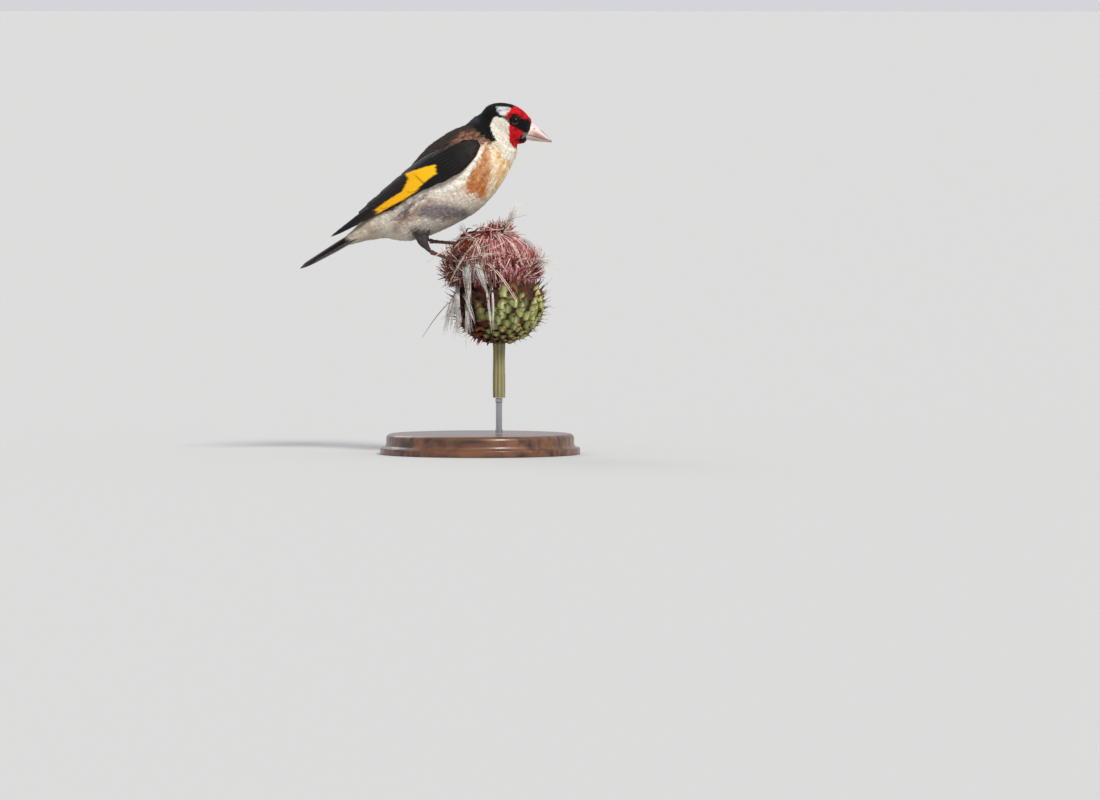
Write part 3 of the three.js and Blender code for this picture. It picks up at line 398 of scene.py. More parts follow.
class Gathered:
    """Points, triangles, colours and patch places gathered for one mesh."""

    def __init__(self):
        self.parts = []
        self.size = 0

    def add(self, points, faces, colours, patches=None):
        colours = np.broadcast_to(colours, (len(points), 3))
        if patches is None:
            patches = np.zeros((len(points), 2))
        self.parts.append((points, faces + self.size, colours, patches))
        self.size += len(points)

    def piece(self, name, material, slot, replaced=(), smooth=True):
        points, faces, colours, patches = (np.concatenate(p) for p in zip(*self.parts))
        mesh = bpy.data.meshes.new(name)
        mesh.from_pydata((points * MM).tolist(), [], faces.tolist())
        mesh.polygons.foreach_set("use_smooth", np.full(len(faces), smooth))
        colour = mesh.color_attributes.new("plumage", "FLOAT_COLOR", "POINT")
        colour.data.foreach_set("color", np.hstack([colours, np.ones((len(colours), 1))]).ravel())
        if patches.any():
            layer = mesh.uv_layers.new(name="OFBake")
            layer.data.foreach_set("uv", patches[faces.ravel()].ravel())
        mesh.materials.append(material)
        piece = linked(name, mesh)
        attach(piece, "root")
        if replaced:
            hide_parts(*replaced)


def linked(name, data):
    """A new object of the scene."""
    made = bpy.data.objects.new(name, data)
    bpy.context.scene.collection.objects.link(made)
    return made


def one_piece(made, name, material, slot, replaced=(), smooth=True):
    """A piece of one shape, made of points, triangles, colours and perhaps patch places."""
    gathered = Gathered()
    gathered.add(*made)
    gathered.piece(name, material, slot, replaced, smooth)


# The bird's own directions

spine = through(TRUNK, np.linspace(0, 1, 161))
spine_points = np.stack([spine[:, 0], np.zeros(161), spine[:, 1]], 1)
spine_ways = slopes(spine_points)
head_way = np.array([math.cos(HEAD_PITCH), 0, math.sin(HEAD_PITCH)])
head_up = np.array([-head_way[2], 0, head_way[0]])
bill_span = BILL_TIP - BILL_GAPE
bill_length = np.linalg.norm(bill_span)
bill_way = bill_span / bill_length
bill_up = np.array([-bill_way[2], 0, bill_way[0]])
wing_way = unit(WING_TIP - WING_BEND)
wing_up = np.array([wing_way[2], 0, -wing_way[0]])


def upward(ways):
    return np.stack([-ways[:, 2], np.zeros(len(ways)), ways[:, 0]], 1)


def oval_rings(centres, ups, up, down, side, sides):
    a = full_turn(sides)
    s = np.sin(a)
    rise = np.where(s > 0, up[:, None], down[:, None]) * s
    spread = side[:, None] * np.cos(a)
    return centres[:, None] + spread[..., None] * ACROSS + rise[..., None] * ups[:, None]


def on_spine(points):
    """For points: the share of the way along the spine, the height and the side as shares of the body."""
    flat = spine_points[:, [0, 2]]
    near = np.argmin(((points[:, None, [0, 2]] - flat[None]) ** 2).sum(-1), axis=1)
    away = points - spine_points[near]
    rise = (away * upward(spine_ways)[near]).sum(1)
    up, down, side = spine[near, 2], spine[near, 3], spine[near, 4]
    return near / (len(spine) - 1), rise / np.where(rise > 0, up, down), away[:, 1] / side


def on_head(along, up, out):
    return HEAD_CENTRE + along * head_way + up * head_up + out * ACROSS


def on_wing(side, u, v, lift):
    """Points of the wing's sheet at distances along, across and above it, in arrays of one shape."""
    u, v, lift = np.broadcast_arrays(u, v, lift)
    y, tilt, radius = (c.reshape(u.shape)[..., None] for c in through_places(WING, u.ravel())[:, :3].T)
    outward = np.array([0, side, 0])
    tilt = np.radians(tilt)
    facing = outward * np.cos(tilt) + wing_up * np.sin(tilt)
    rising = wing_up * np.cos(tilt) - outward * np.sin(tilt)
    a = v[..., None] / radius
    reach = radius + lift[..., None]
    line = WING_BEND + u[..., None] * wing_way + outward * y
    return line + rising * reach * np.sin(a) + facing * (reach * np.cos(a) - radius)


def wing_reach(u):
    """Lower edge, upper edge, thickness and depth of the wing at distances along it."""
    return through_places(WING, np.ravel(u))[:, 3:].T.reshape((4,) + np.shape(u))


# Markings, and the shadow and sheen painted among them

def inside(places, outline, soft=0.35):
    """How far places are inside an outline, from 0 to 1 with a soft edge."""
    corners = np.array(outline)
    following = np.roll(corners, -1, axis=0)
    span = following - corners
    away = places[:, None] - corners[None]
    t = np.clip((away * span).sum(-1) / (span ** 2).sum(-1), 0, 1)
    distance = np.linalg.norm(away - t[..., None] * span, axis=-1).min(1)
    crossing = (corners[:, 1] > places[:, 1:]) != (following[:, 1] > places[:, 1:])
    rise = np.where(span[:, 1] == 0, 1e-9, span[:, 1])
    edge = corners[:, 0] + span[:, 0] * (places[:, 1:] - corners[:, 1]) / rise
    crossed = crossing & (places[:, :1] < edge)
    signed = np.where(crossed.sum(1) % 2 == 1, distance, -distance)
    return smoothstep(signed, -soft, soft)


def patches_of(points, size, seed):
    """A cloud of soft patches from -1 to 1, of about the given size in millimetres."""
    draws = np.random.default_rng(seed)
    ways = unit(draws.normal(size=(7, 3))) * draws.uniform(0.6, 1.5, (7, 1))
    waves = np.sin(points @ ways.T * (2.2 / size) + draws.uniform(0, 6.28, 7))
    return waves.mean(1) * 1.6


def lay(colours, over, share):
    return colours + (over - colours) * share[:, None]


def under_plumage(share, places, from_middle, clouds, fine, streaks):
    """Colours of breast, belly, flanks and vent, with a shadow painted across the belly."""
    colours = np.tile(BELLY, (len(places), 1))
    colours = lay(colours, CREAM, smoothstep(share, 0.55, 0.75))
    colours = lay(colours, UNDERTAIL, smoothstep(-share, -0.34, -0.24))
    colours = lay(colours, VENT, 0.6 * smoothstep(clouds, 0.1, 0.9) * smoothstep(-share, -0.5, -0.35))
    rusty = (0.7 + 0.5 * streaks).clip(0, 1)
    colours = lay(colours, RUST, 0.85 * inside(places, RUST_OUTLINE, 2.2) * rusty)
    # Painted shadow: a grey patch across the belly where a shadow falls
    colours = lay(colours, SHADOW_AND_FLANK_GREY, 0.85 * inside(places, BELLY_SHADOW_OUTLINE, 1.6))
    streaky = (0.55 + 0.9 * streaks).clip(0, 1)
    colours = lay(colours, SHADOW_AND_FLANK_GREY * 0.6, 0.85 * inside(places, FLANK_OUTLINE, 1.4) * streaky)
    sides = smoothstep(from_middle, 2.5, 7.0)
    buff = mix(BUFF, BUFF_DEEP, smoothstep(-places[:, 1], -124.0, -116.0)[:, None])
    buff = mix(buff, BUFF_PALE, smoothstep(streaks, -0.4, 1.0)[:, None] * 0.5)
    speckled = (0.95 + 0.25 * fine).clip(0, 1)
    colours = lay(colours, buff, inside(places, BUFF_OUTLINE, 1.5) * sides * speckled)
    front = inside(places, BUFF_FRONT_OUTLINE, 1.2) * smoothstep(from_middle, 1.5, 4.5)
    return lay(colours, BUFF_PALE, front * smoothstep(streaks + 0.5 * clouds, -0.9, 0.3))


def back_plumage(colours, share, height, places, clouds, streaks):
    """Mantle, rump, tail coverts and the fringes along the wing, laid over the colours."""
    back = smoothstep(height + 0.06 * clouds, 0.12, 0.34)
    darker = np.maximum(smoothstep(height, 0.6, 1.0), smoothstep(streaks, 0.1, 0.8) * 0.6)
    colours = lay(colours, mix(MANTLE, MANTLE_DARK, darker[:, None]), back)
    colours = lay(colours, RUMP, back * smoothstep(-share, -0.36, -0.27) * 0.85)
    colours = lay(colours, WING_BLACK, smoothstep(-share, -0.12, -0.06) * smoothstep(height, -0.3, 0.2))
    streaky = 0.15 + 0.85 * smoothstep(streaks, -0.4, 0.3)
    colours = lay(colours, FRINGE, inside(places, FRINGE_OUTLINE, 0.9) * streaky)
    fringe = inside(places, WING_FRINGE_OUTLINE, 0.6) * smoothstep(streaks, -1.1, -0.3)
    return lay(colours, WHITE, fringe * 0.85)


def head_plumage(colours, points, places, clouds, fine):
    """Hood with a sheen painted on the nape, ear patch, cheek, red face and black lore, laid over the
    colours.
    """
    # Painted sheen: a soft reflection of light laid on the black of the nape
    sheen = np.exp(-((places - PAINTED_SHEEN_PLACE) ** 2).sum(1) / 3.4)[:, None] * 0.42
    colours = lay(colours, mix(HOOD, HOOD_PAINTED_SHEEN, sheen), inside(places, HOOD_OUTLINE, 0.6))
    greyer = smoothstep(1.1 * fine + 0.25 * (10.4 - places[:, 0]), -0.5, 0.9)[:, None] * 0.85
    colours = lay(colours, mix(EAR_WHITE, EAR_GREY, greyer), inside(places, EAR_OUTLINE, 0.25))
    cheek = mix(CHEEK, CHEEK_CREAM, smoothstep(clouds, 0.1, 0.9)[:, None] * 0.6)
    colours = lay(colours, cheek, inside(places, CHEEK_OUTLINE, 0.3))
    colours = lay(colours, LORE, 0.9 * inside(places, EYE_LINE_OUTLINE, 0.2))
    red = mix(RED, RED_DARK, smoothstep(fine, -0.1, 0.8)[:, None] * 0.75)
    colours = lay(colours, red, inside(places, RED_OUTLINE, 0.25))
    colours = lay(colours, LORE, inside(places, LORE_OUTLINE, 0.45))
    eye = on_head(EYE_ALONG, EYE_UP, EYE_SIDE) * (1, 0, 1)
    from_eye = np.linalg.norm(points - eye - ACROSS * EYE_SIDE * np.sign(points[:, 1:2]), axis=1)
    colours = lay(colours, LORE, 0.95 * (1 - smoothstep(from_eye + 0.3 * fine, 2.5, 3.7)))
    colours = lay(colours, LORE, inside(places, CHIN_OUTLINE, 0.3))
    colours = lay(colours, LORE, 0.9 * inside(places, GAPE_OUTLINE, 1.3))
    return lay(colours, GAPE_GREY, 0.55 * inside(places + (0, 0.2), GAPE_OUTLINE, 0.5))


def plumage(points):
    """Colour of the body's plumage at points, alike on both sides."""
    mirrored = np.stack([points[:, 0], -np.abs(points[:, 1]), points[:, 2]], 1)
    x = mirrored[:, 0] * math.cos(VIEW_AZIMUTH) + mirrored[:, 1] * math.sin(VIEW_AZIMUTH)
    places = np.stack([x, mirrored[:, 2]], 1)
    share, height, beside = on_spine(points)
    clouds = patches_of(mirrored, 3.0, 1)
    fine = patches_of(mirrored, 1.1, 2)
    streaks = patches_of(mirrored @ STREAK_TURN * (0.28, 1, 1), 0.8, 5)
    colours = under_plumage(share, places, np.abs(points[:, 1]), clouds, fine, streaks)
    colours = back_plumage(colours, share, height, places, clouds, streaks)
    colours = lay(colours, THIGH, thigh_share(points))
    return head_plumage(colours, points, places, clouds, fine)


def wing_colours(u, v, edge, tip):
    """Colour of wing feathers at places on the sheet. Edge and tip are 1 at a feather's border."""
    places = np.stack([u.ravel(), v.ravel()], 1)
    yellow = inside(places + rng.normal(0, 0.12, places.shape), YELLOW_PATCH, 0.3)
    colours = np.tile(WING_BLACK, (len(places), 1))
    colours = lay(colours, WING_BROWN, 0.8 * smoothstep(np.maximum(edge, tip).ravel(), 0.78, 1.0))
    deep = smoothstep(u.ravel(), 26, 50)[:, None]
    return lay(colours, mix(YELLOW, YELLOW_DEEP, 0.5 * deep), yellow)


# Materials

def new_material(name, roughness, specular=0.5):
    material = bpy.data.materials.new(name)
    material.use_nodes = True
    nodes = material.node_tree.nodes
    shader = nodes["Principled BSDF"]
    shader.inputs["Roughness"].default_value = roughness
    shader.inputs["Specular IOR Level"].default_value = specular
    return material, nodes, material.node_tree.links, shader


def noise(nodes, links, scale, detail=3.0, stretch=None):
    """A noise of the model's own coordinates, in which a scale of 1000 gives features of a millimetre."""
    texture = nodes.new("ShaderNodeTexNoise")
    texture.inputs["Scale"].default_value = scale
    texture.inputs["Detail"].default_value = detail
    place = nodes.new("ShaderNodeTexCoord")
    source = place.outputs["Object"]
    if stretch:
        mapping = nodes.new("ShaderNodeMapping")
        mapping.inputs["Scale"].default_value = stretch
        links.new(source, mapping.inputs["Vector"])
        source = mapping.outputs["Vector"]
    links.new(source, texture.inputs["Vector"])
    return texture.outputs["Fac"]


def remap(nodes, links, source, low, high):
    node = nodes.new("ShaderNodeMapRange")
    node.inputs["To Min"].default_value = low
    node.inputs["To Max"].default_value = high
    links.new(source, node.inputs["Value"])
    return node.outputs["Result"]


def varied_colour(nodes, links, shader, scale, low, high, base=None):
    """The piece's own colours, or one base colour, made lighter and darker by a noise."""
    multiply = nodes.new("ShaderNodeMix")
    multiply.data_type = "RGBA"
    multiply.blend_type = "MULTIPLY"
    multiply.inputs["Factor"].default_value = 1.0
    if base is None:
        attribute = nodes.new("ShaderNodeAttribute")
        attribute.attribute_name = "plumage"
        links.new(attribute.outputs["Color"], multiply.inputs["A"])
    else:
        multiply.inputs["A"].default_value = (*base, 1)
    links.new(remap(nodes, links, noise(nodes, links, scale), low, high), multiply.inputs["B"])
    links.new(multiply.outputs["Result"], shader.inputs["Base Color"])


def bumped(nodes, links, shader, height, distance, strength=1.0):
    bump = nodes.new("ShaderNodeBump")
    bump.inputs["Distance"].default_value = distance
    bump.inputs["Strength"].default_value = strength
    links.new(height, bump.inputs["Height"])
    links.new(bump.outputs["Normal"], shader.inputs["Normal"])


def feather_material(name, roughness=0.8, sheen=0.05, scale=1800.0, contrast=0.25, specular=0.16):
    material, nodes, links, shader = new_material(name, roughness, specular)
    varied_colour(nodes, links, shader, scale, 1 - contrast, 1 + contrast)
    shader.inputs["Sheen Weight"].default_value = sheen
    shader.inputs["Sheen Roughness"].default_value = 0.5
    bumped(nodes, links, shader, noise(nodes, links, 5200.0, 2.0), 0.00008, 0.7)
    return material


def horn_material():
    material, nodes, links, shader = new_material("bill_horn", 0.36, 0.5)
    varied_colour(nodes, links, shader, 900.0, 0.88, 1.1)
    shader.inputs["Subsurface Weight"].default_value = 0.12
    shader.inputs["Subsurface Radius"].default_value = (0.0012, 0.0006, 0.0004)
    bumped(nodes, links, shader, noise(nodes, links, 2600.0, 3.0, (0.25, 1, 1)), 0.00006, 0.6)
    return material


def scaly_material(name, roughness, specular=0.5):
    material, nodes, links, shader = new_material(name, roughness, specular)
    varied_colour(nodes, links, shader, 1600.0, 0.7, 1.3)
    bumped(nodes, links, shader, noise(nodes, links, 4200.0, 3.0), 0.00008, 0.7)
    return material


def eye_material():
    material, nodes, links, shader = new_material("eye_wet", 0.05, 0.16)
    varied_colour(nodes, links, shader, 3000.0, 0.75, 1.25)
    return material


def plant_material(name, roughness, contrast):
    material, nodes, links, shader = new_material(name, roughness, 0.3)
    varied_colour(nodes, links, shader, 1300.0, 1 - contrast, 1 + contrast)
    bumped(nodes, links, shader, noise(nodes, links, 3600.0, 4.0, (1, 1, 0.3)), 0.00012, 0.7)
    return material


def wood_material():
    material, nodes, links, shader = new_material("turned_wood", 0.38, 0.5)
    ramp = nodes.new("ShaderNodeValToRGB")
    ramp.color_ramp.elements[0].position = 0.36
    ramp.color_ramp.elements[0].color = (*WOOD_DARK, 1)
    ramp.color_ramp.elements[1].position = 0.64
    ramp.color_ramp.elements[1].color = (*WOOD_LIGHT, 1)
    links.new(noise(nodes, links, 420.0, 6.0, (0.05, 1, 0.4)), ramp.inputs["Fac"])
    links.new(ramp.outputs["Color"], shader.inputs["Base Color"])
    shader.inputs["Coat Weight"].default_value = 0.35
    shader.inputs["Coat Roughness"].default_value = 0.15
    bumped(nodes, links, shader, noise(nodes, links, 900.0, 4.0, (0.15, 1, 1)), 0.00005, 0.4)
    return material


def steel_material():
    material, nodes, links, shader = new_material("brushed_steel", 0.28, 0.5)
    shader.inputs["Metallic"].default_value = 1.0
    varied_colour(nodes, links, shader, 900.0, 0.85, 1.1, STEEL)
    bumped(nodes, links, shader, noise(nodes, links, 5000.0, 2.0, (1, 1, 0.05)), 0.00003, 0.5)
    return material


# One skin for the torso, neck, head and thighs

def trunk_shell(inset):
    size = spine[::2]
    up, down, side = (np.maximum(size[:, k] - inset, 0.35) for k in (2, 3, 4))
    return tube(oval_rings(spine_points[::2], upward(spine_ways[::2]), up, down, side, 72))


def head_shell(inset):
    size = through(HEAD, np.linspace(0, 1, 60))
    centres = HEAD_CENTRE + size[:, :1] * head_way
    up, down, side = (np.maximum(size[:, k] - inset, 0.3) for k in (1, 2, 3))
    return tube(oval_rings(centres, np.tile(head_up, (60, 1)), up, down, side, 64))


def thigh_line(leg):
    return through(leg["thigh"], np.linspace(0, 1, 24))


def thigh_shell(leg, inset):
    line = thigh_line(leg)
    return round_tube(line[:, :3], np.maximum(line[:, 3] - inset, 0.5), 20)


def fused_skin():
    """The shells fused into one smooth closed surface: its points and quads, in millimetres."""
    shells = [trunk_shell(BODY_COAT), head_shell(HEAD_COAT)]
    shells += [thigh_shell(leg, 0.7) for leg in LEGS.values()]
    points, faces, count = [], [], 0
    for shell_points, shell_faces in shells:
        points.append(shell_points)
        faces.append(shell_faces + count)
        count += len(shell_points)
    mesh = bpy.data.meshes.new("shells")
    mesh.from_pydata(np.concatenate(points).tolist(), [], np.concatenate(faces).tolist())
    shell = linked("shells", mesh)
    remesh = shell.modifiers.new("fuse", "REMESH")
    remesh.mode = "VOXEL"
    remesh.voxel_size = 0.5
    soften = shell.modifiers.new("soften", "SMOOTH")
    soften.factor = 0.5
    soften.iterations = 6
    made = shell.evaluated_get(bpy.context.evaluated_depsgraph_get()).to_mesh()
    points = np.zeros(len(made.vertices) * 3)
    made.vertices.foreach_get("co", points)
    faces = [tuple(p.vertices) for p in made.polygons]
    bpy.data.objects.remove(shell)
    return points.reshape(-1, 3), faces


def to_triangles(faces):
    quads = np.array([f for f in faces if len(f) == 4])
    triangles = [f for f in faces if len(f) == 3]
    split = np.concatenate([quads[:, [0, 1, 2]], quads[:, [0, 2, 3]]])
    return np.concatenate([split, np.array(triangles)]) if triangles else split


def corner_normals(points, faces):
    p, q, r = (points[faces[:, k]] for k in range(3))
    flat = np.cross(q - p, r - p)
    normals = np.zeros_like(points)
    for k in range(3):
        np.add.at(normals, faces[:, k], flat)
    return unit(normals)


# Small feathers over a surface

def evenly_thinned(points, spacing):
    """Indices of points spread about evenly, at most one for each cell of the given size."""
    order = rng.permutation(len(points))
    cells = np.floor(points[order] / spacing).astype(int)
    _, first = np.unique(cells, axis=0, return_index=True)
    return order[first]


def nearest_on(tree, points):
    """Nearest places on a surface, and its normals there."""
    found = [tree.find_nearest(Vector(p)) for p in points]
    return np.array([f[0][:] for f in found]), np.array([f[1][:] for f in found])


def followed(tree, points, ways, lengths, shares):
    """Walks over a surface from points along ways, and gives the places and normals on the walk."""
    places, normals = [], []
    here, heading = points, ways
    for before, after in zip((0.0,) + shares[:-1], shares):
        ahead = here + heading * (lengths * (after - before))[:, None]
        here, normal = nearest_on(tree, ahead)
        heading = flattened(heading, normal)
        places.append(here)
        normals.append(normal)
    return places, normals


# One small feather, seen from above: share of its length and place across its half width, with
# the tip split into barbs
FEATHER_POINTS = np.array([
    (0.0, -0.35), (0.0, 0.35),
    (0.36, -0.95), (0.36, 0.0), (0.36, 0.95),
    (0.7, -1.0), (0.7, -0.5), (0.7, 0.0), (0.7, 0.5), (0.7, 1.0),
    (0.93, -0.8), (1.0, -0.27), (1.0, 0.27), (0.93, 0.8),
])
FEATHER_FACES = np.array([
    (0, 1, 3), (0, 3, 2), (1, 4, 3),
    (2, 6, 5), (2, 3, 6), (3, 7, 6), (3, 8, 7), (3, 4, 8), (4, 9, 8),
    (5, 6, 10), (6, 7, 11), (7, 8, 12), (8, 9, 13),
])
# Steps along a feather as shares of its length, and how far it has risen to its full lift at each
WALK = (0.0, 0.36, 0.7, 1.0)
WALK_RISE = np.array([0.0, 0.45, 0.8, 1.0])
ROOT_DEPTH = 0.25
PATCH_SIZE = 0.0015


def feathers(tree, roots, normals, ways, lengths, halves, lifts, colours, unwrap, camber=0.35, loose=0.06):
    """Points, triangles, colours and patch places of small feathers that lie over a surface."""
    count = len(roots)
    places, lies = followed(tree, roots, ways, lengths, WALK[1:])
    line = np.stack([roots - normals * ROOT_DEPTH, *places], 1)
    lies = np.stack([normals, *lies], 1)
    line = line + lies * (lifts[:, None] * WALK_RISE)[..., None]
    share, across = FEATHER_POINTS[:, 0], FEATHER_POINTS[:, 1]
    weights = np.stack([np.interp(share, WALK, row) for row in np.eye(4)], 1)
    middle = np.einsum("vk,nkd->nvd", weights, line)
    lie = unit(np.einsum("vk,nkd->nvd", weights, lies))
    heading = unit(line[:, 2] - line[:, 1])[:, None]
    right = unit(np.cross(heading, lie))
    wide = halves[:, None, None]
    bent = (1 - across ** 2)[None, :, None] * camber * wide * lie
    points = middle + right * (across * halves[:, None])[..., None] + bent - lie * camber * wide
    points += lie * (camber * 0.5 * halves)[:, None, None]
    barbs = (share > 0.8)[None, :, None]
    each = (count, len(share), 1)
    ahead = heading * (rng.normal(0, loose, each) * barbs * lengths[:, None, None])
    aside = right * rng.normal(0, loose, each) * barbs * wide
    points += ahead + aside
    shade = mix(0.72, 1.08, smoothstep(share, 0.0, 0.8))[None, :, None]
    vary = 1 + 0.09 * rng.normal(size=(count, 1, 1))
    tinted = (colours[:, None] * shade * vary).reshape(-1, 3).clip(0, 1)
    spot = np.stack([across, share * 2 - 1], 1) * PATCH_SIZE
    patches = unwrap[:, None] + spot[None]
    faces = FEATHER_FACES[None] + (np.arange(count) * len(share))[:, None, None]
    return points.reshape(-1, 3), faces.reshape(-1, 3), tinted, patches.reshape(-1, 2)


def body_unwrap(points):
    """Places of points on an unwrap of the body: round it and along it."""
    share, height, beside = on_spine(points)
    ahead = smoothstep(((points - HEAD_CENTRE) * head_way).sum(1), -6, 13)
    round_it = np.arctan2(beside, height) / (2 * math.pi) + 0.5
    return np.stack([0.02 + 0.96 * round_it, 0.02 + 0.8 * share + 0.16 * ahead], 1)


def body_lie(points, normals):
    """Directions in which the plumage lies: away from the bill on the head, and to the tail elsewhere."""
    share, height, beside = on_spine(points)
    near = np.rint(share * (len(spine) - 1)).astype(int)
    back = -spine_ways[near]
    from_bill = unit(points - (BILL_GAPE + bill_way * 2.0 + bill_up * 1.5))
    on_face = 1 - smoothstep(np.linalg.norm(points - HEAD_CENTRE, axis=1), 9, 16)
    way = mix(back, from_bill, on_face[:, None])
    for leg in LEGS.values():
        line = thigh_line(leg)
        apart = np.linalg.norm(points[:, None] - line[None, :, :3], axis=-1)
        close = 1 - smoothstep(apart.min(1) - line[apart.argmin(1), 3], 0.0, 1.5)
        low = close * smoothstep(-points[:, 2], -line[0, 2] + 3, -line[0, 2] + 7)
        down = unit(line[-1, :3] - line[0, :3])
        way = mix(way, down, low[:, None])
    return flattened(way + 0.1 * rng.normal(size=way.shape), normals)


def thigh_share(points):
    """How much points belong to a thigh, from 0 to 1, fading where it leaves the body."""
    share = np.zeros(len(points))
    ragged = 0.5 * patches_of(points, 1.0, 3)
    for leg in LEGS.values():
        line = thigh_line(leg)
        apart = (np.linalg.norm(points[:, None] - line[None, :, :3], axis=-1) - line[None, :, 3]).min(1)
        below = leg["thigh"][1, 2] + THIGH_TOP - points[:, 2]
        near = 1 - smoothstep(apart + ragged, 0.1, 1.4)
        share = np.maximum(share, near * smoothstep(below + ragged, -1.5, 2.5))
    return share


def clear_of_face_parts(points):
    """Where the face has no feathers: at the eyes and at the base of the bill."""
    keep = np.ones(len(points), bool)
    for side in (-1, 1):
        eye = on_head(EYE_ALONG, EYE_UP, side * (EYE_SIDE + 1.2))
        keep &= np.linalg.norm(points - eye, axis=1) > LID_RADIUS + 0.25
    from_gape = points - BILL_GAPE
    along = (from_gape * bill_way).sum(1)
    rise = (from_gape * bill_up).sum(1)
    size = through_places(BILL, np.clip(along / bill_length, 0, 1))
    reach = np.where(rise > 0, size[:, 0], size[:, 1])
    oval = np.hypot(rise / reach, points[:, 1] / size[:, 2])
    return keep & ~((along > -0.5) & (oval < 0.95))


# Zones of the coat: how far apart feathers stand, their length, half width, lift and camber
COAT_ZONES = [
    dict(name="coat_face", spacing=0.4, length=1.5, half=0.34, lift=0.36, camber=0.25),
    dict(name="coat_neck", spacing=0.5, length=2.7, half=0.56, lift=0.72, camber=0.3),
    dict(name="coat_back", spacing=0.72, length=4.7, half=1.0, lift=0.9, camber=0.3),
    dict(name="coat_under", spacing=0.62, length=4.8, half=0.76, lift=1.0, camber=0.3),
    dict(name="coat_vent", spacing=0.62, length=5.4, half=0.8, lift=0.8, camber=0.3),
    dict(name="coat_thigh", spacing=0.48, length=1.8, half=0.42, lift=0.45, camber=0.3),
]
COAT_SLOTS = {"coat_face": "plumage_face", "coat_thigh": "plumage_thigh"}


def zone_of(points):
    """The coat zone of each point, as an index into the zones."""
    share, height, beside = on_spine(points)
    from_head = np.linalg.norm(points - HEAD_CENTRE, axis=1)
    zone = np.where(height > 0.2, 2, 3)
    zone = np.where(share < 0.27, 4, zone)
    zone = np.where(share > 0.82, 1, zone)
    zone = np.where(from_head < 11.5, 0, zone)
    return np.where(thigh_share(points) > 0.5, 5, zone)


def body_coat(tree, points, normals):
    feather = feather_material("small_feathers")
    zones = zone_of(points)
    share, height, beside = on_spine(points)
    beside_tail = (share > BODY_END) & ((share > TAIL_COVERS_TO) | (height < -0.3))
    free = clear_of_face_parts(points) & beside_tail
    for k, zone in enumerate(COAT_ZONES):
        here = np.flatnonzero((zones == k) & free)
        chosen = here[evenly_thinned(points[here], zone["spacing"])]
        roots, up = points[chosen], normals[chosen]
        roots = roots + rng.normal(0, 0.12, roots.shape)
        ways = body_lie(roots, up)
        count = len(roots)
        size = 1 + 0.15 * rng.normal(size=count)
        lifts = zone["lift"] * (1 + 0.12 * rng.normal(size=count))
        colours = plumage(roots + ways * zone["length"] * 0.6 + up * 0.5)
        made = feathers(tree, roots, up, ways, zone["length"] * size, zone["half"] * size, lifts, colours,
                        body_unwrap(roots), zone["camber"])
        one_piece(made, zone["name"], feather, COAT_SLOTS.get(zone["name"], "plumage_body"))


# Wings

def vane_outline(shape, s):
    """Half width of a flight feather, as a share, at shares of its length."""
    grow = mix(0.45, 1.0, smoothstep(s, 0.0, 0.45))
    start, power = {"pointed": (0.62, 1.5), "blunt": (0.84, 2.0), "round": (0.72, 2.0)}[shape]
    beyond = np.clip((s - start) / (1 - start), 0, 1)
    return grow * np.sqrt(np.clip(1 - beyond ** power, 0, 1)) + 0.02


def vane_grid(place, outline, rows, columns, quill):
    """A closed feather, its place across and its place along: place gives the points themselves."""
    s = np.linspace(0, 1, rows)[:, None]
    w = np.linspace(-1, 1, columns)[None]
    half = outline(s)
    notch = 1 - 0.06 * np.abs(rng.normal(size=(rows, columns))) * (np.abs(w) > 0.99)
    across = w * half * notch
    ridge = 0.14 * np.exp(-((w - quill) / 0.12) ** 2) * (1 - 0.8 * s)
    camber = -0.16 * w ** 2
    ripple = 0.018 * np.sin(38 * s * math.pi + 4 * np.abs(w - quill))
    s = np.broadcast_to(s, across.shape)
    top = place(s, across, ridge + camber + ripple)
    bottom = place(s, across, camber - VANE_THICKNESS * mix(1.0, 0.4, s))
    points = np.concatenate([top.reshape(-1, 3), bottom.reshape(-1, 3)])
    i, j = np.meshgrid(np.arange(rows - 1), np.arange(columns - 1), indexing="ij")
    a = (i * columns + j).ravel()
    b, c, d = a + 1, a + columns, a + columns + 1
    upper = np.concatenate([np.stack([a, b, d], 1), np.stack([a, d, c], 1)])
    low = rows * columns
    lower = upper[:, ::-1] + low
    border = np.concatenate([np.arange(columns), np.arange(1, rows) * columns + columns - 1,
                             (rows - 1) * columns + np.arange(columns - 2, -1, -1),
                             np.arange(rows - 2, 0, -1) * columns])
    ahead = np.roll(border, -1)
    rim = [np.stack([border, border + low, ahead + low], 1), np.stack([border, ahead + low, ahead], 1)]
    faces = facing_out(points, np.concatenate([upper, lower, *rim]))
    edge = np.abs(np.broadcast_to(w, across.shape)).ravel()
    return points, faces, np.tile(edge, 2), np.tile(s.ravel(), 2)


def spread(values, count):
    return np.interp(np.linspace(0, 1, count), np.linspace(0, 1, len(values)), values)


def wing_feather(side, tier, i):
    share = i / (tier["count"] - 1)
    root = mix(np.array(tier["roots"][0], float), np.array(tier["roots"][1], float), share)
    tip_u = spread(tier["tips_at"], tier["count"])[i]
    tip_v = mix(*tier["tips"], share)
    lift = mix(*tier["lift"], share)

    def sheet(s, across):
        return mix(root[0], tip_u, s), mix(root[1], tip_v, s) + across * tier["half"]

    def place(s, across, height):
        u, v = sheet(s, across)
        thick = wing_reach(u)[2]
        return on_wing(side, u, v, lift * thick - 0.14 * across + height)

    def outline(s):
        return vane_outline(tier["shape"], s)

    rows, columns = (44, 11) if tip_u - root[0] > LONG_FEATHER else (20, 9)
    quill = -0.35 if tier["name"] == "primaries" else -0.05
    points, faces, edge, along = vane_grid(place, outline, rows, columns, quill)
    u = ((points - WING_BEND) * wing_way).sum(1)
    v = sheet_place(side, points, u)
    colours = wing_colours(u, v, edge, smoothstep(along, 0.86, 1.0))
    return points, faces, colours, wing_unwrap(side, u, v)


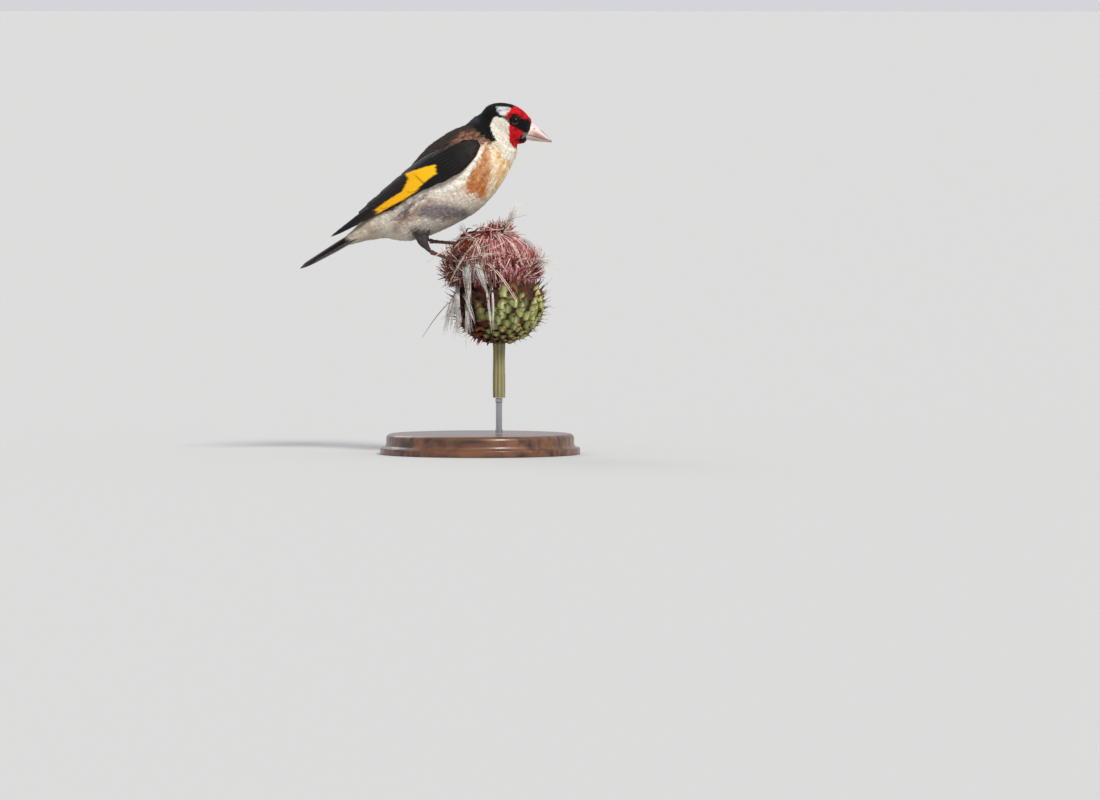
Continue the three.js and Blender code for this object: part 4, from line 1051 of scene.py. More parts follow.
def sheet_place(side, points, u):
    """How far across the wing's sheet points are, given how far along it they are."""
    y, tilt, radius = through_places(WING, np.clip(u, 0, WING[-1, 0]))[:, :3].T
    rise = ((points - WING_BEND) * wing_up).sum(1)
    out = side * points[:, 1] - y
    tilt = np.radians(tilt)
    across = rise * np.cos(tilt) - out * np.sin(tilt)
    facing = rise * np.sin(tilt) + out * np.cos(tilt) + radius
    return np.arctan2(across, facing) * radius


def wing_unwrap(side, u, v):
    return np.stack([0.02 + 0.96 * u / 80, (0.27 if side < 0 else 0.75) + v / 80], 1)


def wing_core(side):
    """The closed body of a folded wing, full at the front and thin under the long feathers."""
    steps, across = 60, 14
    u = np.linspace(0, WING_CORE_END, steps)[:, None]
    low, high, thick, deep = wing_reach(u)
    covered = smoothstep(u, 9, 17)
    c = np.linspace(0, 1, across + 1)[None]
    v = mix(low + 0.9 * covered, high - 0.9 * covered, c)
    fuller_on_top = mix(0.4, 1.15, smoothstep(c, 0.5, 1.0))
    crown = mix(mix(fuller_on_top, 1.0, np.sin(math.pi * c)), 1.0, covered)
    outer = on_wing(side, u, v, thick * mix(0.75, 0.28, covered) * crown)
    inner = on_wing(side, u, v[:, ::-1], -deep * 0.8 + 0 * v)
    return tube(np.concatenate([outer, inner], 1))


def lesser_coverts(side, gathered, core):
    """Small black feathers over the front of the wing, where the core is full."""
    points, faces = core
    tree = BVHTree.FromPolygons(points.tolist(), faces.tolist())
    count = LESSER_COVERTS
    u = rng.uniform(0.3, LESSER_COVERTS_END, count)
    low, high, thick, deep = wing_reach(u)
    on_top = rng.uniform(0, 1, count) < LESSER_COVERTS_ON_TOP
    v = mix(low, high, np.where(on_top, 1.0, rng.uniform(0.02, 0.98, count)))
    out = np.where(on_top, mix(-deep * 0.6, thick * 0.72, rng.uniform(0, 1, count)), thick * 0.72)
    roots, normals = nearest_on(tree, on_wing(side, u, v, out))
    outward = on_wing(side, u, v, thick + 1) - on_wing(side, u, v, thick)
    normals = normals * np.sign(np.median((normals * outward).sum(1)))
    ways = flattened(unit(wing_way + 0.1 * rng.normal(size=(count, 3))), normals)
    size = 1 + 0.15 * rng.normal(size=count)
    lifts = 0.45 + 0.1 * size
    colours = mix(WING_BLACK, WING_BROWN, 0.35 * rng.uniform(0, 1, (count, 1)))
    unwrap = wing_unwrap(side, u, v)
    gathered.add(*feathers(tree, roots, normals, ways, 3.6 * size, 0.95 * size, lifts, colours, unwrap))


def wings():
    vane_material = feather_material("flight_feathers", 0.55, 0.02, 2600.0, 0.2, 0.2)
    for name, side in (("right", -1), ("left", 1)):
        core = wing_core(side)
        gathered = Gathered()
        core_u = (core[0] - WING_BEND) @ wing_way
        core_v = sheet_place(side, core[0], core_u)
        # The core under the feathers is the wing's black darkened by 0.8: painted shade
        gathered.add(*core, WING_BLACK * 0.8, wing_unwrap(side, core_u, core_v))
        for tier in WING_TIERS:
            for i in range(tier["count"]):
                gathered.add(*wing_feather(side, tier, i))
        lesser_coverts(side, gathered, core)
        gathered.piece(f"wing_{name}_feathers", vane_material, "plumage_flight", [f"wing_{name}"])


# Tail

tail_span = TAIL_TIP - TAIL_ROOT
tail_length = np.linalg.norm(tail_span)
tail_way = tail_span / tail_length
tail_up = np.array([tail_way[2], 0, -tail_way[0]])


def on_tail(at, rise, y):
    """Points at shares of the way along the tail, above its line and beside it."""
    return TAIL_ROOT + at[..., None] * tail_span + rise[..., None] * tail_up + y[..., None] * ACROSS


def tail_reach(at):
    """The tail's reach up, down and sideways, and the depth between its roof and its floor."""
    up, down_reach, reach = (c.reshape(at.shape) for c in through_places(TAIL, at.clip(0, 1).ravel()).T)
    return up, reach, up + down_reach - TAIL_ROOF * reach - 0.6


def tail_feather(side, i):
    share = i / (TAIL_PAIRS - 1)
    length = 1 - TAIL_FORK * (1 - share) / tail_length
    root_y = side * mix(0.7, 1.4, share)

    def place(s, across, height):
        at = s * length
        up, reach, depth = tail_reach(at)
        fanned = smoothstep(at, 0, 0.7)
        half = TAIL_VANE_HALF * mix(0.7, 1.0, fanned) * 0.94
        middle = side * np.maximum(0, reach - half) * mix(0.3, 1.0, share)
        y = mix(root_y, middle, fanned) + across * half
        return on_tail(at, up - 0.2 - TAIL_ROOF * np.abs(y) - 0.92 * share * depth + height, y)

    def outline(s):
        beyond = np.clip((s - 0.9) / 0.1, 0, 1)
        return mix(0.5, 1.0, smoothstep(s, 0, 0.5)) * np.sqrt(np.clip(1 - beyond ** 2.2, 0, 1)) + 0.02

    points, faces, edge, along = vane_grid(place, outline, 40, 11, 0.25 * side)
    colours = np.tile(WING_BLACK, (len(points), 1))
    border = np.maximum(edge, smoothstep(along, 0.93, 1.0))
    colours = lay(colours, WING_BROWN, 0.5 * smoothstep(border, 0.8, 1.0))
    beneath = np.repeat([0.0, 1.0], len(points) // 2)
    if i >= TAIL_PAIRS - 3:
        pale = smoothstep(along, 0.3, 0.4) * smoothstep(-along, -0.88, -0.8) * beneath
        colours = lay(colours, TIP_WHITE, 0.8 * pale)
    places = np.stack([0.02 + 0.96 * along, 0.5 + 0.03 * points[:, 1]], 1)
    return points, faces, colours, places


# Rows of pale coverts under the tail: how many, where they end along the tail, how far they lie
# below it, how far they reach to each side, and half their width
UNDERTAIL_ROWS = [
    dict(count=5, end=0.6, below=0.2, reach=2.4, half=1.35),
    dict(count=6, end=0.45, below=0.55, reach=2.6, half=1.4),
    dict(count=6, end=0.3, below=1.0, reach=2.8, half=1.5),
    dict(count=6, end=0.16, below=1.5, reach=2.9, half=1.6),
]


def undertail_covert(row, i):
    y_tip = row["reach"] * (2 * i / (row["count"] - 1) - 1)
    end = row["end"] * (1 - 0.16 * (y_tip / row["reach"]) ** 2) + 0.015 * rng.normal()
    start = end - 0.4

    def place(s, across, height):
        at = mix(start, end, s)
        up, reach, depth = tail_reach(at)
        y = y_tip * mix(0.6, 1.0, s) + across * row["half"]
        rise = up - 0.5 - TAIL_ROOF * np.abs(y) - 0.92 * depth - row["below"] * mix(1.0, 0.4, s) - height
        return on_tail(at, rise, y)

    def outline(s):
        return vane_outline("round", s)

    points, faces, edge, along = vane_grid(place, outline, 18, 9, 0.0)
    shade = mix(0.72, 1.05, smoothstep(along, 0.2, 0.9))[:, None]
    colours = mix(UNDERTAIL, TIP_WHITE, rng.uniform(0, 0.7)) * shade
    places = np.stack([0.02 + 0.96 * along, 0.2 + 0.03 * points[:, 1]], 1)
    return points, faces, colours, places


def undertail():
    gathered = Gathered()
    for row in UNDERTAIL_ROWS:
        for i in range(row["count"]):
            gathered.add(*undertail_covert(row, i))
    gathered.piece("undertail_coverts", feather_material("undertail_covert"), "plumage_body")


def tail():
    gathered = Gathered()
    for side in (-1, 1):
        for i in range(TAIL_PAIRS):
            gathered.add(*tail_feather(side, i))
    material = feather_material("tail_feather", 0.6, 0.02, 2600.0, 0.2, 0.1)
    gathered.piece("tail_feathers", material, "plumage_flight", ["tail"])


# Eyes, bill, legs

def eyeball(centre, side):
    """A ball that bulges a little in front, with a dark iris round a black pupil."""
    a = np.linspace(0, math.pi, 40)[1:-1]
    bulge = 1 + 0.05 * np.exp(-(a / 0.45) ** 2)
    turn = full_turn(48)
    out = EYE_RADIUS * bulge * np.cos(a)
    wide = EYE_RADIUS * np.sin(a)
    around = np.cos(turn)[:, None] * head_way + np.sin(turn)[:, None] * head_up
    rings = centre + wide[:, None, None] * around[None] + (side * out)[:, None, None] * ACROSS
    points, faces = tube(rings)
    from_axis = np.linalg.norm(np.cross(points - centre, ACROSS), axis=1)
    front = (points - centre)[:, 1] * side > 0
    iris = smoothstep(from_axis, PUPIL_RADIUS, IRIS_FROM) * front
    return points, faces, lay(np.tile(EYE_BLACK, (len(points), 1)), IRIS, iris)


def eyelid(centre, side):
    """The beaded rim round an eye, black and a little paler below."""
    ring, turn = full_turn(64), full_turn(12)
    beads = 1 + 0.12 * np.sin(ring * 26) + 0.05 * np.sin(ring * 11 + 1)
    lean = math.asin(LID_RADIUS / EYE_RADIUS)
    wide = LID_HALF_WIDTH * np.cos(turn)
    thick = beads[:, None] * (0.05 + LID_HALF_THICKNESS * np.sin(turn))
    away = LID_RADIUS + wide * math.cos(lean) + thick * math.sin(lean)
    out = EYE_RADIUS * math.cos(lean) - wide * math.sin(lean) + thick * math.cos(lean)
    around = np.cos(ring)[:, None] * head_way * 1.05 + np.sin(ring)[:, None] * head_up * 0.98
    rings = centre + away[..., None] * around[:, None] + (side * out)[..., None] * ACROSS
    points = rings.reshape(-1, 3)
    faces = wall_faces(len(ring) + 1, len(turn)) % len(points)
    low = smoothstep(np.cos(ring + math.radians(66)), 0.3, 0.95)
    pale = low[:, None] * smoothstep(-np.cos(turn), 0.4, 0.95)
    return points, faces, lay(np.tile(LID_BLACK, (len(points), 1)), LID_PALE, pale.ravel() * 0.85)


def eyes():
    wet = eye_material()
    lid_skin = scaly_material("eyelid_skin", 0.7, 0.15)
    for name, side in (("right", -1), ("left", 1)):
        centre = on_head(EYE_ALONG, EYE_UP, side * EYE_SIDE)
        one_piece(eyeball(centre, side), f"eyeball_{name}", wet, "eye", [f"eye_{name}"])
        one_piece(eyelid(centre, side), f"eyelid_{name}", lid_skin, "eye")


def bill_half(top):
    """One half of the bill: rounded outside, flat where the halves meet, with a nostril on the upper."""
    shares = np.linspace(0, 1, 60)
    size = through_places(BILL, shares)
    reach = size[:, 0 if top else 1]
    a = np.linspace(0, math.pi, 41)
    keel = np.sin(a) ** (0.9 if top else 1.1)
    spread_out = np.cos(a) * (1 - 0.05 * np.sin(a) ** 2)
    centres = BILL_GAPE + shares[:, None] * bill_span
    sign = 1 if top else -1
    rise = sign * (MOUTH_GAP + (reach[:, None] - MOUTH_GAP) * keel)
    y = size[:, 2:3] * spread_out
    if top:
        from_nostril = (shares[:, None] - NOSTRIL_ALONG) * bill_length / 0.6
        dent = NOSTRIL_DEPTH * np.exp(-(from_nostril ** 2 + ((rise - NOSTRIL_UP) / NOSTRIL_RADIUS) ** 2))
        y = y - np.sign(y) * dent
    outer = centres[:, None] + rise[..., None] * bill_up + y[..., None] * ACROSS
    inner_rise = np.full((60, 9), sign * MOUTH_GAP)
    inner_y = np.linspace(-0.9, 0.9, 9)[None] * size[:, 2:3]
    inner = centres[:, None] + inner_rise[..., None] * bill_up + inner_y[..., None] * ACROSS
    return tube(np.concatenate([outer, inner], 1))


def bill_colours(points, top):
    """Pale horn, pinker towards the middle, dark at the tip and along the upper ridge."""
    along = ((points - BILL_GAPE) @ bill_way) / bill_length
    up = (points - BILL_GAPE) @ bill_up
    size = through_places(BILL, along.clip(0, 1))
    low = smoothstep(1 - np.abs(up) / np.maximum(size[:, 0], 0.2), 0.25, 0.7) if top else 0.45
    colours = np.tile(BILL_PALE, (len(points), 1))
    colours = lay(colours, BILL_PINK, 0.9 * smoothstep(along, 0.05, 0.45) * low)
    if top:
        ridge = smoothstep(up / np.maximum(size[:, 0], 0.2), 0.82, 0.98)
        colours = lay(colours, BILL_DARK, 0.85 * ridge * smoothstep(along, 0.4, 0.6))
    colours = lay(colours, BILL_DARK, 0.8 * smoothstep(along, 0.86, 1.0))
    mouth = 1 - smoothstep(np.abs(up), MOUTH_GAP, MOUTH_GAP + 0.22)
    colours = lay(colours, MOUTH_LINE, 0.6 * mouth)
    if top:
        # Painted shade in the nostril's shallow dent
        from_nostril = (along - NOSTRIL_ALONG) * bill_length / 0.4
        hole = np.exp(-(from_nostril ** 2 + ((up - NOSTRIL_UP) / 0.26) ** 2))
        colours = lay(colours, NOSTRIL_DARK, 0.8 * hole)
    return colours


def bill():
    horn = horn_material()
    for name, top in (("bill_upper", True), ("bill_lower", False)):
        points, faces = bill_half(top)
        one_piece((points, faces, bill_colours(points, top)), f"{name}_horn", horn, "horn", [name])


def scuted(line, radii, sides, plates, hint):
    """A limb with overlapping plates across its front: rings swell and step in along the line."""
    count = len(line)
    place = np.linspace(0, plates, count)
    step = 1 + PLATE_DEPTH * ((place % 1) ** 2 - 0.5)
    right, up = across_line(line, hint)
    a = full_turn(sides)
    front = smoothstep(-np.sin(a), -0.4, 0.3)[None]
    swell = mix(1.0, step[:, None], front)
    pads = 1 + 0.1 * np.sin(2 * math.pi * place[:, None] * 0.6) * (1 - front)
    reach = radii[:, None] * swell * pads
    points, faces = tube(rings_on(line, reach[..., None], right, up, a))
    grooves = np.repeat(smoothstep(place % 1, 0.82, 1.0), sides) * np.tile(front[0], count)
    colours = lay(np.tile(SCUTE, (len(grooves), 1)), SCUTE_GROOVE, grooves * 0.8)
    return points, faces, np.vstack([colours, SCUTE, SCUTE])


def toe_line(leg, turn, distances, heights):
    heel = leg["thigh"][-1, :3]
    out = leg["ball"] - TUFT_CENTRE
    reach = np.linalg.norm(out)
    out = out / reach
    forward = leg["ball"] - heel
    forward = unit(forward - out * (forward @ out))
    turn = math.radians(turn)
    way = forward * math.cos(turn) + np.cross(out, forward) * math.sin(turn)
    a = distances / reach
    far = (reach + heights)[:, None]
    return TUFT_CENTRE + out * far * np.cos(a)[:, None] + way * far * np.sin(a)[:, None]


def shank(leg):
    heel, ball = leg["thigh"][-1, :3], leg["ball"]
    way = unit(ball - heel)
    s = np.linspace(0, 1, 90)
    line = mix(heel + way * 0.2, ball - way * 0.4, s[:, None])
    return scuted(line, through(SHANK_RADII, s)[:, 0], 18, 8, SIDE_HINT)


def toe(leg, turn, length):
    s = np.linspace(0, 1, 64)
    line = toe_line(leg, turn, mix(-0.4, length - 0.05, s), -0.15 * s - 0.02)
    radii = TOE_RADIUS * through(TOE_SWELLING, s)[:, 0]
    out = unit(line - TUFT_CENTRE).mean(0)
    return scuted(line, radii, 16, 7 if length > 8 else 5, -out)


def claw(leg, turn, length):
    """A curved claw from the end of a toe, darker towards its tip."""
    s = np.linspace(0, 1, 30)
    arch = 0.9 * np.sin(s * math.pi) - 0.7 * s ** 2
    line = toe_line(leg, turn, length - 0.25 + s * (CLAW_LENGTH + 0.5), arch - 0.05)
    points, faces = round_tube(line, mix(0.46, 0.06, s ** 0.9), 12)
    darker = np.append(np.repeat(smoothstep(s, 0.1, 0.8), 12), [0, 1])
    return points, faces, lay(np.tile(CLAW, (len(points), 1)), CLAW_TIP, darker)


def legs():
    scales = scaly_material("leg_scutes", 0.5)
    claw_horn = scaly_material("claw_horn", 0.32)
    for side, leg in LEGS.items():
        one_piece(shank(leg), f"shank_{side}_scutes", scales, "scaly_skin", [f"shank_{side}"])
        foot = Gathered()
        for name, turn, length in TOES:
            foot.add(*toe(leg, turn, length))
            made = claw(leg, turn, length)
            one_piece(made, f"claw_{side}_{name}_horn", claw_horn, "claw", [f"claw_{side}_{name}"])
        foot.piece(f"foot_{side}_scutes", scales, "scaly_skin", [f"foot_{side}"])


# Thistle

def bowl_radius(share):
    return BOWL_RADIUS * np.interp(share, BOWL_PROFILE[:, 1], BOWL_PROFILE[:, 0])


def around_axis(radius, bearing, z):
    return np.stack([THISTLE_AXIS[0] + radius * np.cos(bearing), THISTLE_AXIS[1] + radius * np.sin(bearing),
                     z + 0 * radius], -1)


BRACT_COUNT = 210
BRACT_LENGTH, BRACT_HALF_WIDTH = 9.0, 2.7
# Half width of a bract at shares of its length: a broad scale that narrows into a spine
BRACT_WIDTHS = np.array([(0.0, 0.8), (0.24, 1.0), (0.42, 0.92), (0.58, 0.68), (0.74, 0.34), (0.88, 0.1),
                         (1.0, 0.015)])
# Bracts facing this bearing are green and paler, those facing away brown and darker: partly their own
# colours, partly light painted on the side the key lamp shines on
GREEN_LIT_SIDE = math.radians(-25)


def bract(i):
    """One keeled scale that leaves the bowl and bends out into a spine: points, triangles, colours."""
    share = mix(0.02, 0.95, ((i + 0.5) / BRACT_COUNT) ** 0.95)
    bearing = i * GOLDEN_ANGLE + 0.07 * rng.normal()
    size = mix(0.5, 1.0, smoothstep(share, 0.0, 0.45)) * (1 + 0.12 * rng.normal())
    length, half = BRACT_LENGTH * size, BRACT_HALF_WIDTH * size
    outward = np.array([math.cos(bearing), math.sin(bearing), 0])
    sideways = np.array([-math.sin(bearing), math.cos(bearing), 0])
    step = 0.04
    spread_out = bowl_radius(share + step) - bowl_radius(share - step)
    slope = unit(outward * spread_out + np.array([0, 0, 2 * step * (BOWL_TOP_Z - BOWL_BOTTOM_Z)]))
    normal = np.cross(sideways, slope)
    height = BOWL_BOTTOM_Z + share * (BOWL_TOP_Z - BOWL_BOTTOM_Z)
    root = np.array([*THISTLE_AXIS, height]) + outward * bowl_radius(share)
    green_lit_side = math.cos(bearing - GREEN_LIT_SIDE) + 0.3 * rng.normal() - 3.2 * max(share - 0.62, 0)
    lit = float(smoothstep(green_lit_side, -0.2, 0.4))
    rows, columns = 14, 7
    s = np.linspace(0, 1, rows)
    w = np.linspace(-1, 1, columns)
    bend = smoothstep(s, mix(0.2, 0.42, lit), 1.0)
    flare = mix(0.48, 0.32, lit) + 0.07 * rng.normal()
    rise = length * (-0.36 + 0.94 * s - 0.8 * flare * bend * s)
    out = length * (-0.02 + 0.11 * s + flare * bend ** 1.2)
    sway = length * 0.07 * rng.normal() * s ** 2
    width = half * np.interp(s, BRACT_WIDTHS[:, 0], BRACT_WIDTHS[:, 1])
    body = (width / half)[:, None]
    keel = body * (0.55 * (1 - np.abs(w[None])) - 0.3 * w[None] ** 2)
    centre = root + rise[:, None] * slope + out[:, None] * normal + sway[:, None] * sideways
    top = centre[:, None] + (w[None] * width[:, None])[..., None] * sideways + keel[..., None] * normal
    under = top - (0.1 + 0.2 * body)[..., None] * normal
    points, faces = tube(np.concatenate([top, under[:, ::-1]], 1))
    along = np.append(np.repeat(s, 2 * columns), [0, 1])
    margin = np.append(np.tile(np.abs(np.concatenate([w, w])), rows), [0, 0])
    return points, faces, bract_colours(along, margin, lit)


def bract_colours(along, margin, lit):
    """Green and paler on the lit side, brown and darker away from it, partly painted light; a painted keel
    highlight, a dark edge, a red-brown end and a dark spine.
    """
    green = mix(*BRACT_GREENS, rng.uniform(0, 1))
    brown = mix(*BRACT_BROWNS, rng.uniform(0, 1) ** 1.5)
    colours = np.tile(mix(brown, green, lit), (len(along), 1))
    # Painted highlight along the keel: pale on lit bracts, a lighter brown on the rest
    ridge = (1 - smoothstep(margin, 0.05, 0.5)) * rng.uniform(0.3, 0.8)
    colours = lay(colours, mix(brown * 1.4, BRACT_KEEL_HIGHLIGHT, lit), ridge)
    colours = lay(colours, BRACT_EDGE, 0.85 * smoothstep(margin, 0.6, 1.0))
    redder = smoothstep(along, mix(0.3, 0.58, lit), mix(0.68, 0.78, lit))
    colours = lay(colours, BRACT_RED, 0.9 * redder)
    return lay(colours, BRACT_SPINE, smoothstep(along, mix(0.74, 0.86, lit), 1.0))


def bracts():
    gathered = Gathered()
    s = np.linspace(0, 1, 40)
    radius = bowl_radius(s) - 0.3
    a = full_turn(64)
    z = BOWL_BOTTOM_Z + s[:, None] * (BOWL_TOP_Z - BOWL_BOTTOM_Z)
    rings = around_axis(radius[:, None] + 0 * a, a + 0 * radius[:, None], z)
    gathered.add(*tube(rings), BOWL_BROWN)
    for i in range(BRACT_COUNT):
        gathered.add(*bract(i))
    gathered.piece("thistle_bracts", plant_material("dry_bracts", 0.62, 0.3), "dry_bract", ["perch_bracts"])


def strands(lines, half, colours, sides=3, taper=0.25):
    """Many thin tapered strands: lines is an array of strands by points by coordinates."""
    count, steps = lines.shape[:2]
    ways = unit(np.gradient(lines, axis=1))
    hint = unit(rng.normal(size=(count, 1, 3)))
    right = unit(np.cross(hint, ways))
    up = np.cross(ways, right)
    a = full_turn(sides)
    narrow = mix(1.0, taper, smoothstep(np.linspace(0, 1, steps), 0.4, 1.0))
    reach = half[:, None] * narrow
    rings = lines[:, :, None] + reach[..., None, None] * (
        np.cos(a)[:, None] * right[:, :, None] + 0.45 * np.sin(a)[:, None] * up[:, :, None])
    last = (steps - 1) * sides
    caps = [(0, 2, 1), (last, last + 1, last + 2)]
    one = np.concatenate([wall_faces(steps, sides), caps])
    faces = (one[None] + (np.arange(count) * steps * sides)[:, None, None]).reshape(-1, 3)
    shade = mix(0.7, 1.1, np.linspace(0, 1, steps))[None, :, None, None]
    tinted = (colours[:, None, None] * shade * np.ones((1, 1, sides, 1))).reshape(-1, 3)
    return rings.reshape(-1, 3), faces, tinted.clip(0, 1)


def on_tuft(polar, bearing, height):
    far = TUFT_RADIUS + height
    out = np.stack([np.sin(polar) * np.cos(bearing), np.sin(polar) * np.sin(bearing), np.cos(polar)], -1)
    return TUFT_CENTRE + far[..., None] * out


# The pale rose stands partly for paler florets and partly for highlights painted on them
PINK, MAGENTA, PALE_ROSE_AND_HIGHLIGHT = srgb(226, 112, 128), srgb(190, 50, 72), srgb(246, 206, 200)
DARK_RED, RED_BROWN, BROWN = srgb(122, 34, 30), srgb(160, 80, 58), srgb(66, 42, 34)
STRAW, WHITE_DOWN, GREY_DOWN = srgb(232, 204, 176), srgb(250, 248, 244), srgb(196, 184, 172)

ALL_ROUND = (0, 1000)

# Kinds of dry floret: how many, the first and last angle from the crown where they are rooted,
# the least and greatest span over the tuft (upwards if negative), tip height over the tuft, half
# width, how far they stray sideways, how pink they may be, and where round the tuft they stand
FLORETS = [
    dict(count=850, rooted=(2, 90), span=(18, 44), tips=(-0.6, 1.4), half=(0.24, 0.5), stray=7, pink=0.3,
         facing=ALL_ROUND),
    dict(count=900, rooted=(3, 70), span=(32, 66), tips=(0.4, 2.8), half=(0.2, 0.5), stray=6, pink=1.0,
         facing=ALL_ROUND),
    dict(count=200, rooted=(6, 80), span=(10, 34), tips=(1.8, 4.0), half=(0.14, 0.3), stray=45, pink=0.5,
         facing=ALL_ROUND),
    dict(count=480, rooted=(82, 106), span=(-30, 4), tips=(3.0, 6.0), half=(0.22, 0.52), stray=10,
         pink=0.25, facing=ALL_ROUND),
    dict(count=100, rooted=(74, 104), span=(-20, -4), tips=(3.5, 7.0), half=(0.24, 0.5), stray=8, pink=0.4,
         facing=(-12, 34)),
]


# The angle from the crown that no floret passes, and how deep the florets are rooted
FLORETS_END, ROOT_INSET = math.radians(112), 2.4


def bare_leg_points():
    """Points along the toes, claws and shanks, round which the florets lie lower."""
    found = []
    for leg in LEGS.values():
        shank = mix(leg["thigh"][-1, :3], leg["ball"], np.linspace(0.3, 1, 8)[:, None])
        found.append(shank)
        for name, turn, length in TOES:
            found.append(toe_line(leg, turn, np.linspace(0, length + CLAW_LENGTH, 14), np.zeros(14)))
    return np.concatenate(found)


def make_room(lines, bare):
    """Lowers the parts of strands that would hide the feet."""
    apart = np.linalg.norm(lines[:, :, None] - bare[None, None], axis=-1).min(-1)
    out = lines - TUFT_CENTRE
    reach = np.linalg.norm(out, axis=-1)
    lowered = np.minimum(reach, TUFT_RADIUS - 1.3)
    reach_now = mix(lowered, reach, smoothstep(apart, 0.8, 2.0))
    return TUFT_CENTRE + out * (reach_now / reach)[..., None]


def floret_colours(places, pink):
    """Colours of florets: pink in front of the middle, dark red on the crown and brown behind."""
    count = len(places)
    pale = rng.uniform(0, 1, (count, 1))
    near_pink = smoothstep(places[:, 0] + 3 * rng.normal(size=count), -7, 3)
    near_pink = near_pink * (1 - 0.5 * smoothstep(places[:, 2] + 1.5 * rng.normal(size=count), 94, 100))
    near_pink = near_pink * (0.35 + 0.65 * smoothstep(places[:, 2] + 1.5 * rng.normal(size=count), 76, 82))
    colours = mix(BROWN * 0.8, RED_BROWN, pale)
    colours = lay(colours, DARK_RED, 0.8 * (rng.uniform(0, 1, count) < 0.35))
    # Pinks run towards pale rose: partly paler florets, partly painted highlights
    pinks = mix(mix(MAGENTA, PINK, pale), PALE_ROSE_AND_HIGHLIGHT, rng.uniform(0, 1, (count, 1)) ** 1.15)
    colours = lay(colours, pinks, (near_pink * pink > rng.uniform(0, 1, count)) * 0.95)
    return lay(colours, mix(STRAW, WHITE_DOWN, pale), (rng.uniform(0, 1, count) < 0.2) * 0.85)


def floret_lines(kind, bare):
    """Lines of the florets of one kind, from inside the tuft to their tips."""
    count = kind["count"]
    top, bottom = (math.cos(math.radians(a)) for a in kind["rooted"])
    start = np.arccos(rng.uniform(bottom, top, count))
    bearing = np.radians(rng.normal(*kind["facing"], count))
    span = np.radians(rng.uniform(*kind["span"], count))
    stray = np.radians(rng.normal(0, kind["stray"], count)) / np.maximum(np.sin(start + span / 2), 0.35)
    tips = rng.uniform(*kind["tips"], count)
    s = np.linspace(0, 1, 6)[None]
    polar = np.minimum(start[:, None] + span[:, None] * s, FLORETS_END)
    sway = 0.14 * np.sin(2 * s * math.pi) * rng.normal(0, 1, (count, 1))
    height = -ROOT_INSET + (tips[:, None] + ROOT_INSET) * s ** 0.75 + sway
    lines = on_tuft(polar, bearing[:, None] + stray[:, None] * s ** 1.5, height)
    lines[:, :, 2] = np.maximum(lines[:, :, 2], BOWL_TOP_Z - 3.0)
    return make_room(lines, bare)


def florets():
    gathered = Gathered()
    polar, bearing = np.meshgrid(np.linspace(0.02, 2.0, 30), full_turn(48), indexing="ij")
    gathered.add(*tube(on_tuft(polar, bearing, np.full(polar.shape, -2.6))), TUFT_BROWN)
    bare = bare_leg_points()
    for kind in FLORETS:
        lines = floret_lines(kind, bare)
        colours = floret_colours(lines[:, 3], kind["pink"])
        gathered.add(*strands(lines, rng.uniform(*kind["half"], kind["count"]), colours))
    crown(gathered)
    stalks(gathered)
    down(gathered)
    material = plant_material("dry_florets", 0.7, 0.3)
    gathered.piece("thistle_florets", material, "dry_floret", ["perch_florets"])


# Hanging hairs fall straight from this height, and keep this far from the head's middle plane
HANG_FROM_Z = 65.0
NEAREST_MIDDLE = 9.0


def beside_head(x, z, side, clearance, nearest=NEAREST_MIDDLE):
    """Points just off the flower head, given as seen from the side. Below its widest they hang straight."""
    level = np.maximum(z, HANG_FROM_Z)
    bowl = bowl_radius(np.clip((level - BOWL_BOTTOM_Z) / (BOWL_TOP_Z - BOWL_BOTTOM_Z), 0, 1)) + 2.6
    tuft = np.sqrt(np.maximum((TUFT_RADIUS + 2.0) ** 2 - (level - TUFT_CENTRE[2]) ** 2, 0))
    low = 1 - smoothstep(level, BOWL_TOP_Z - 4, BOWL_TOP_Z + 5)
    reach = mix(tuft, bowl, low) + clearance
    x_middle = mix(TUFT_CENTRE[0], THISTLE_AXIS[0], low)
    y_middle = mix(TUFT_CENTRE[1], THISTLE_AXIS[1], low)
    y = y_middle + side * np.sqrt(np.maximum(reach ** 2 - (x - x_middle) ** 2, nearest ** 2))
    return np.stack([x, y, z], -1)


# Stiff pale stalks that lie over the tuft, as seen from the side: where each starts and ends
STALKS = [((-0.4, 93.2), (-14.7, 71.9)), ((-0.9, 88.0), (9.7, 88.9)), ((4.9, 84.5), (17.5, 68.4)),
          ((13.0, 95.5), (20.5, 83.0)), ((-0.4, 93.2), (2.0, 88.0)), ((-6.8, 99.8), (0.5, 95.0))]

# Stalks that stand away from the head: two ends, y and colour
LOOSE_STALKS = [((3.0, 98.6), (21.6, 105.6), -5.0, srgb(196, 140, 120)),
                ((-12.0, 90.6), (-22.6, 84.4), -15.0, srgb(226, 204, 176)),
                ((-13.0, 66.8), (-24.4, 51.8), -14.0, srgb(104, 72, 64))]

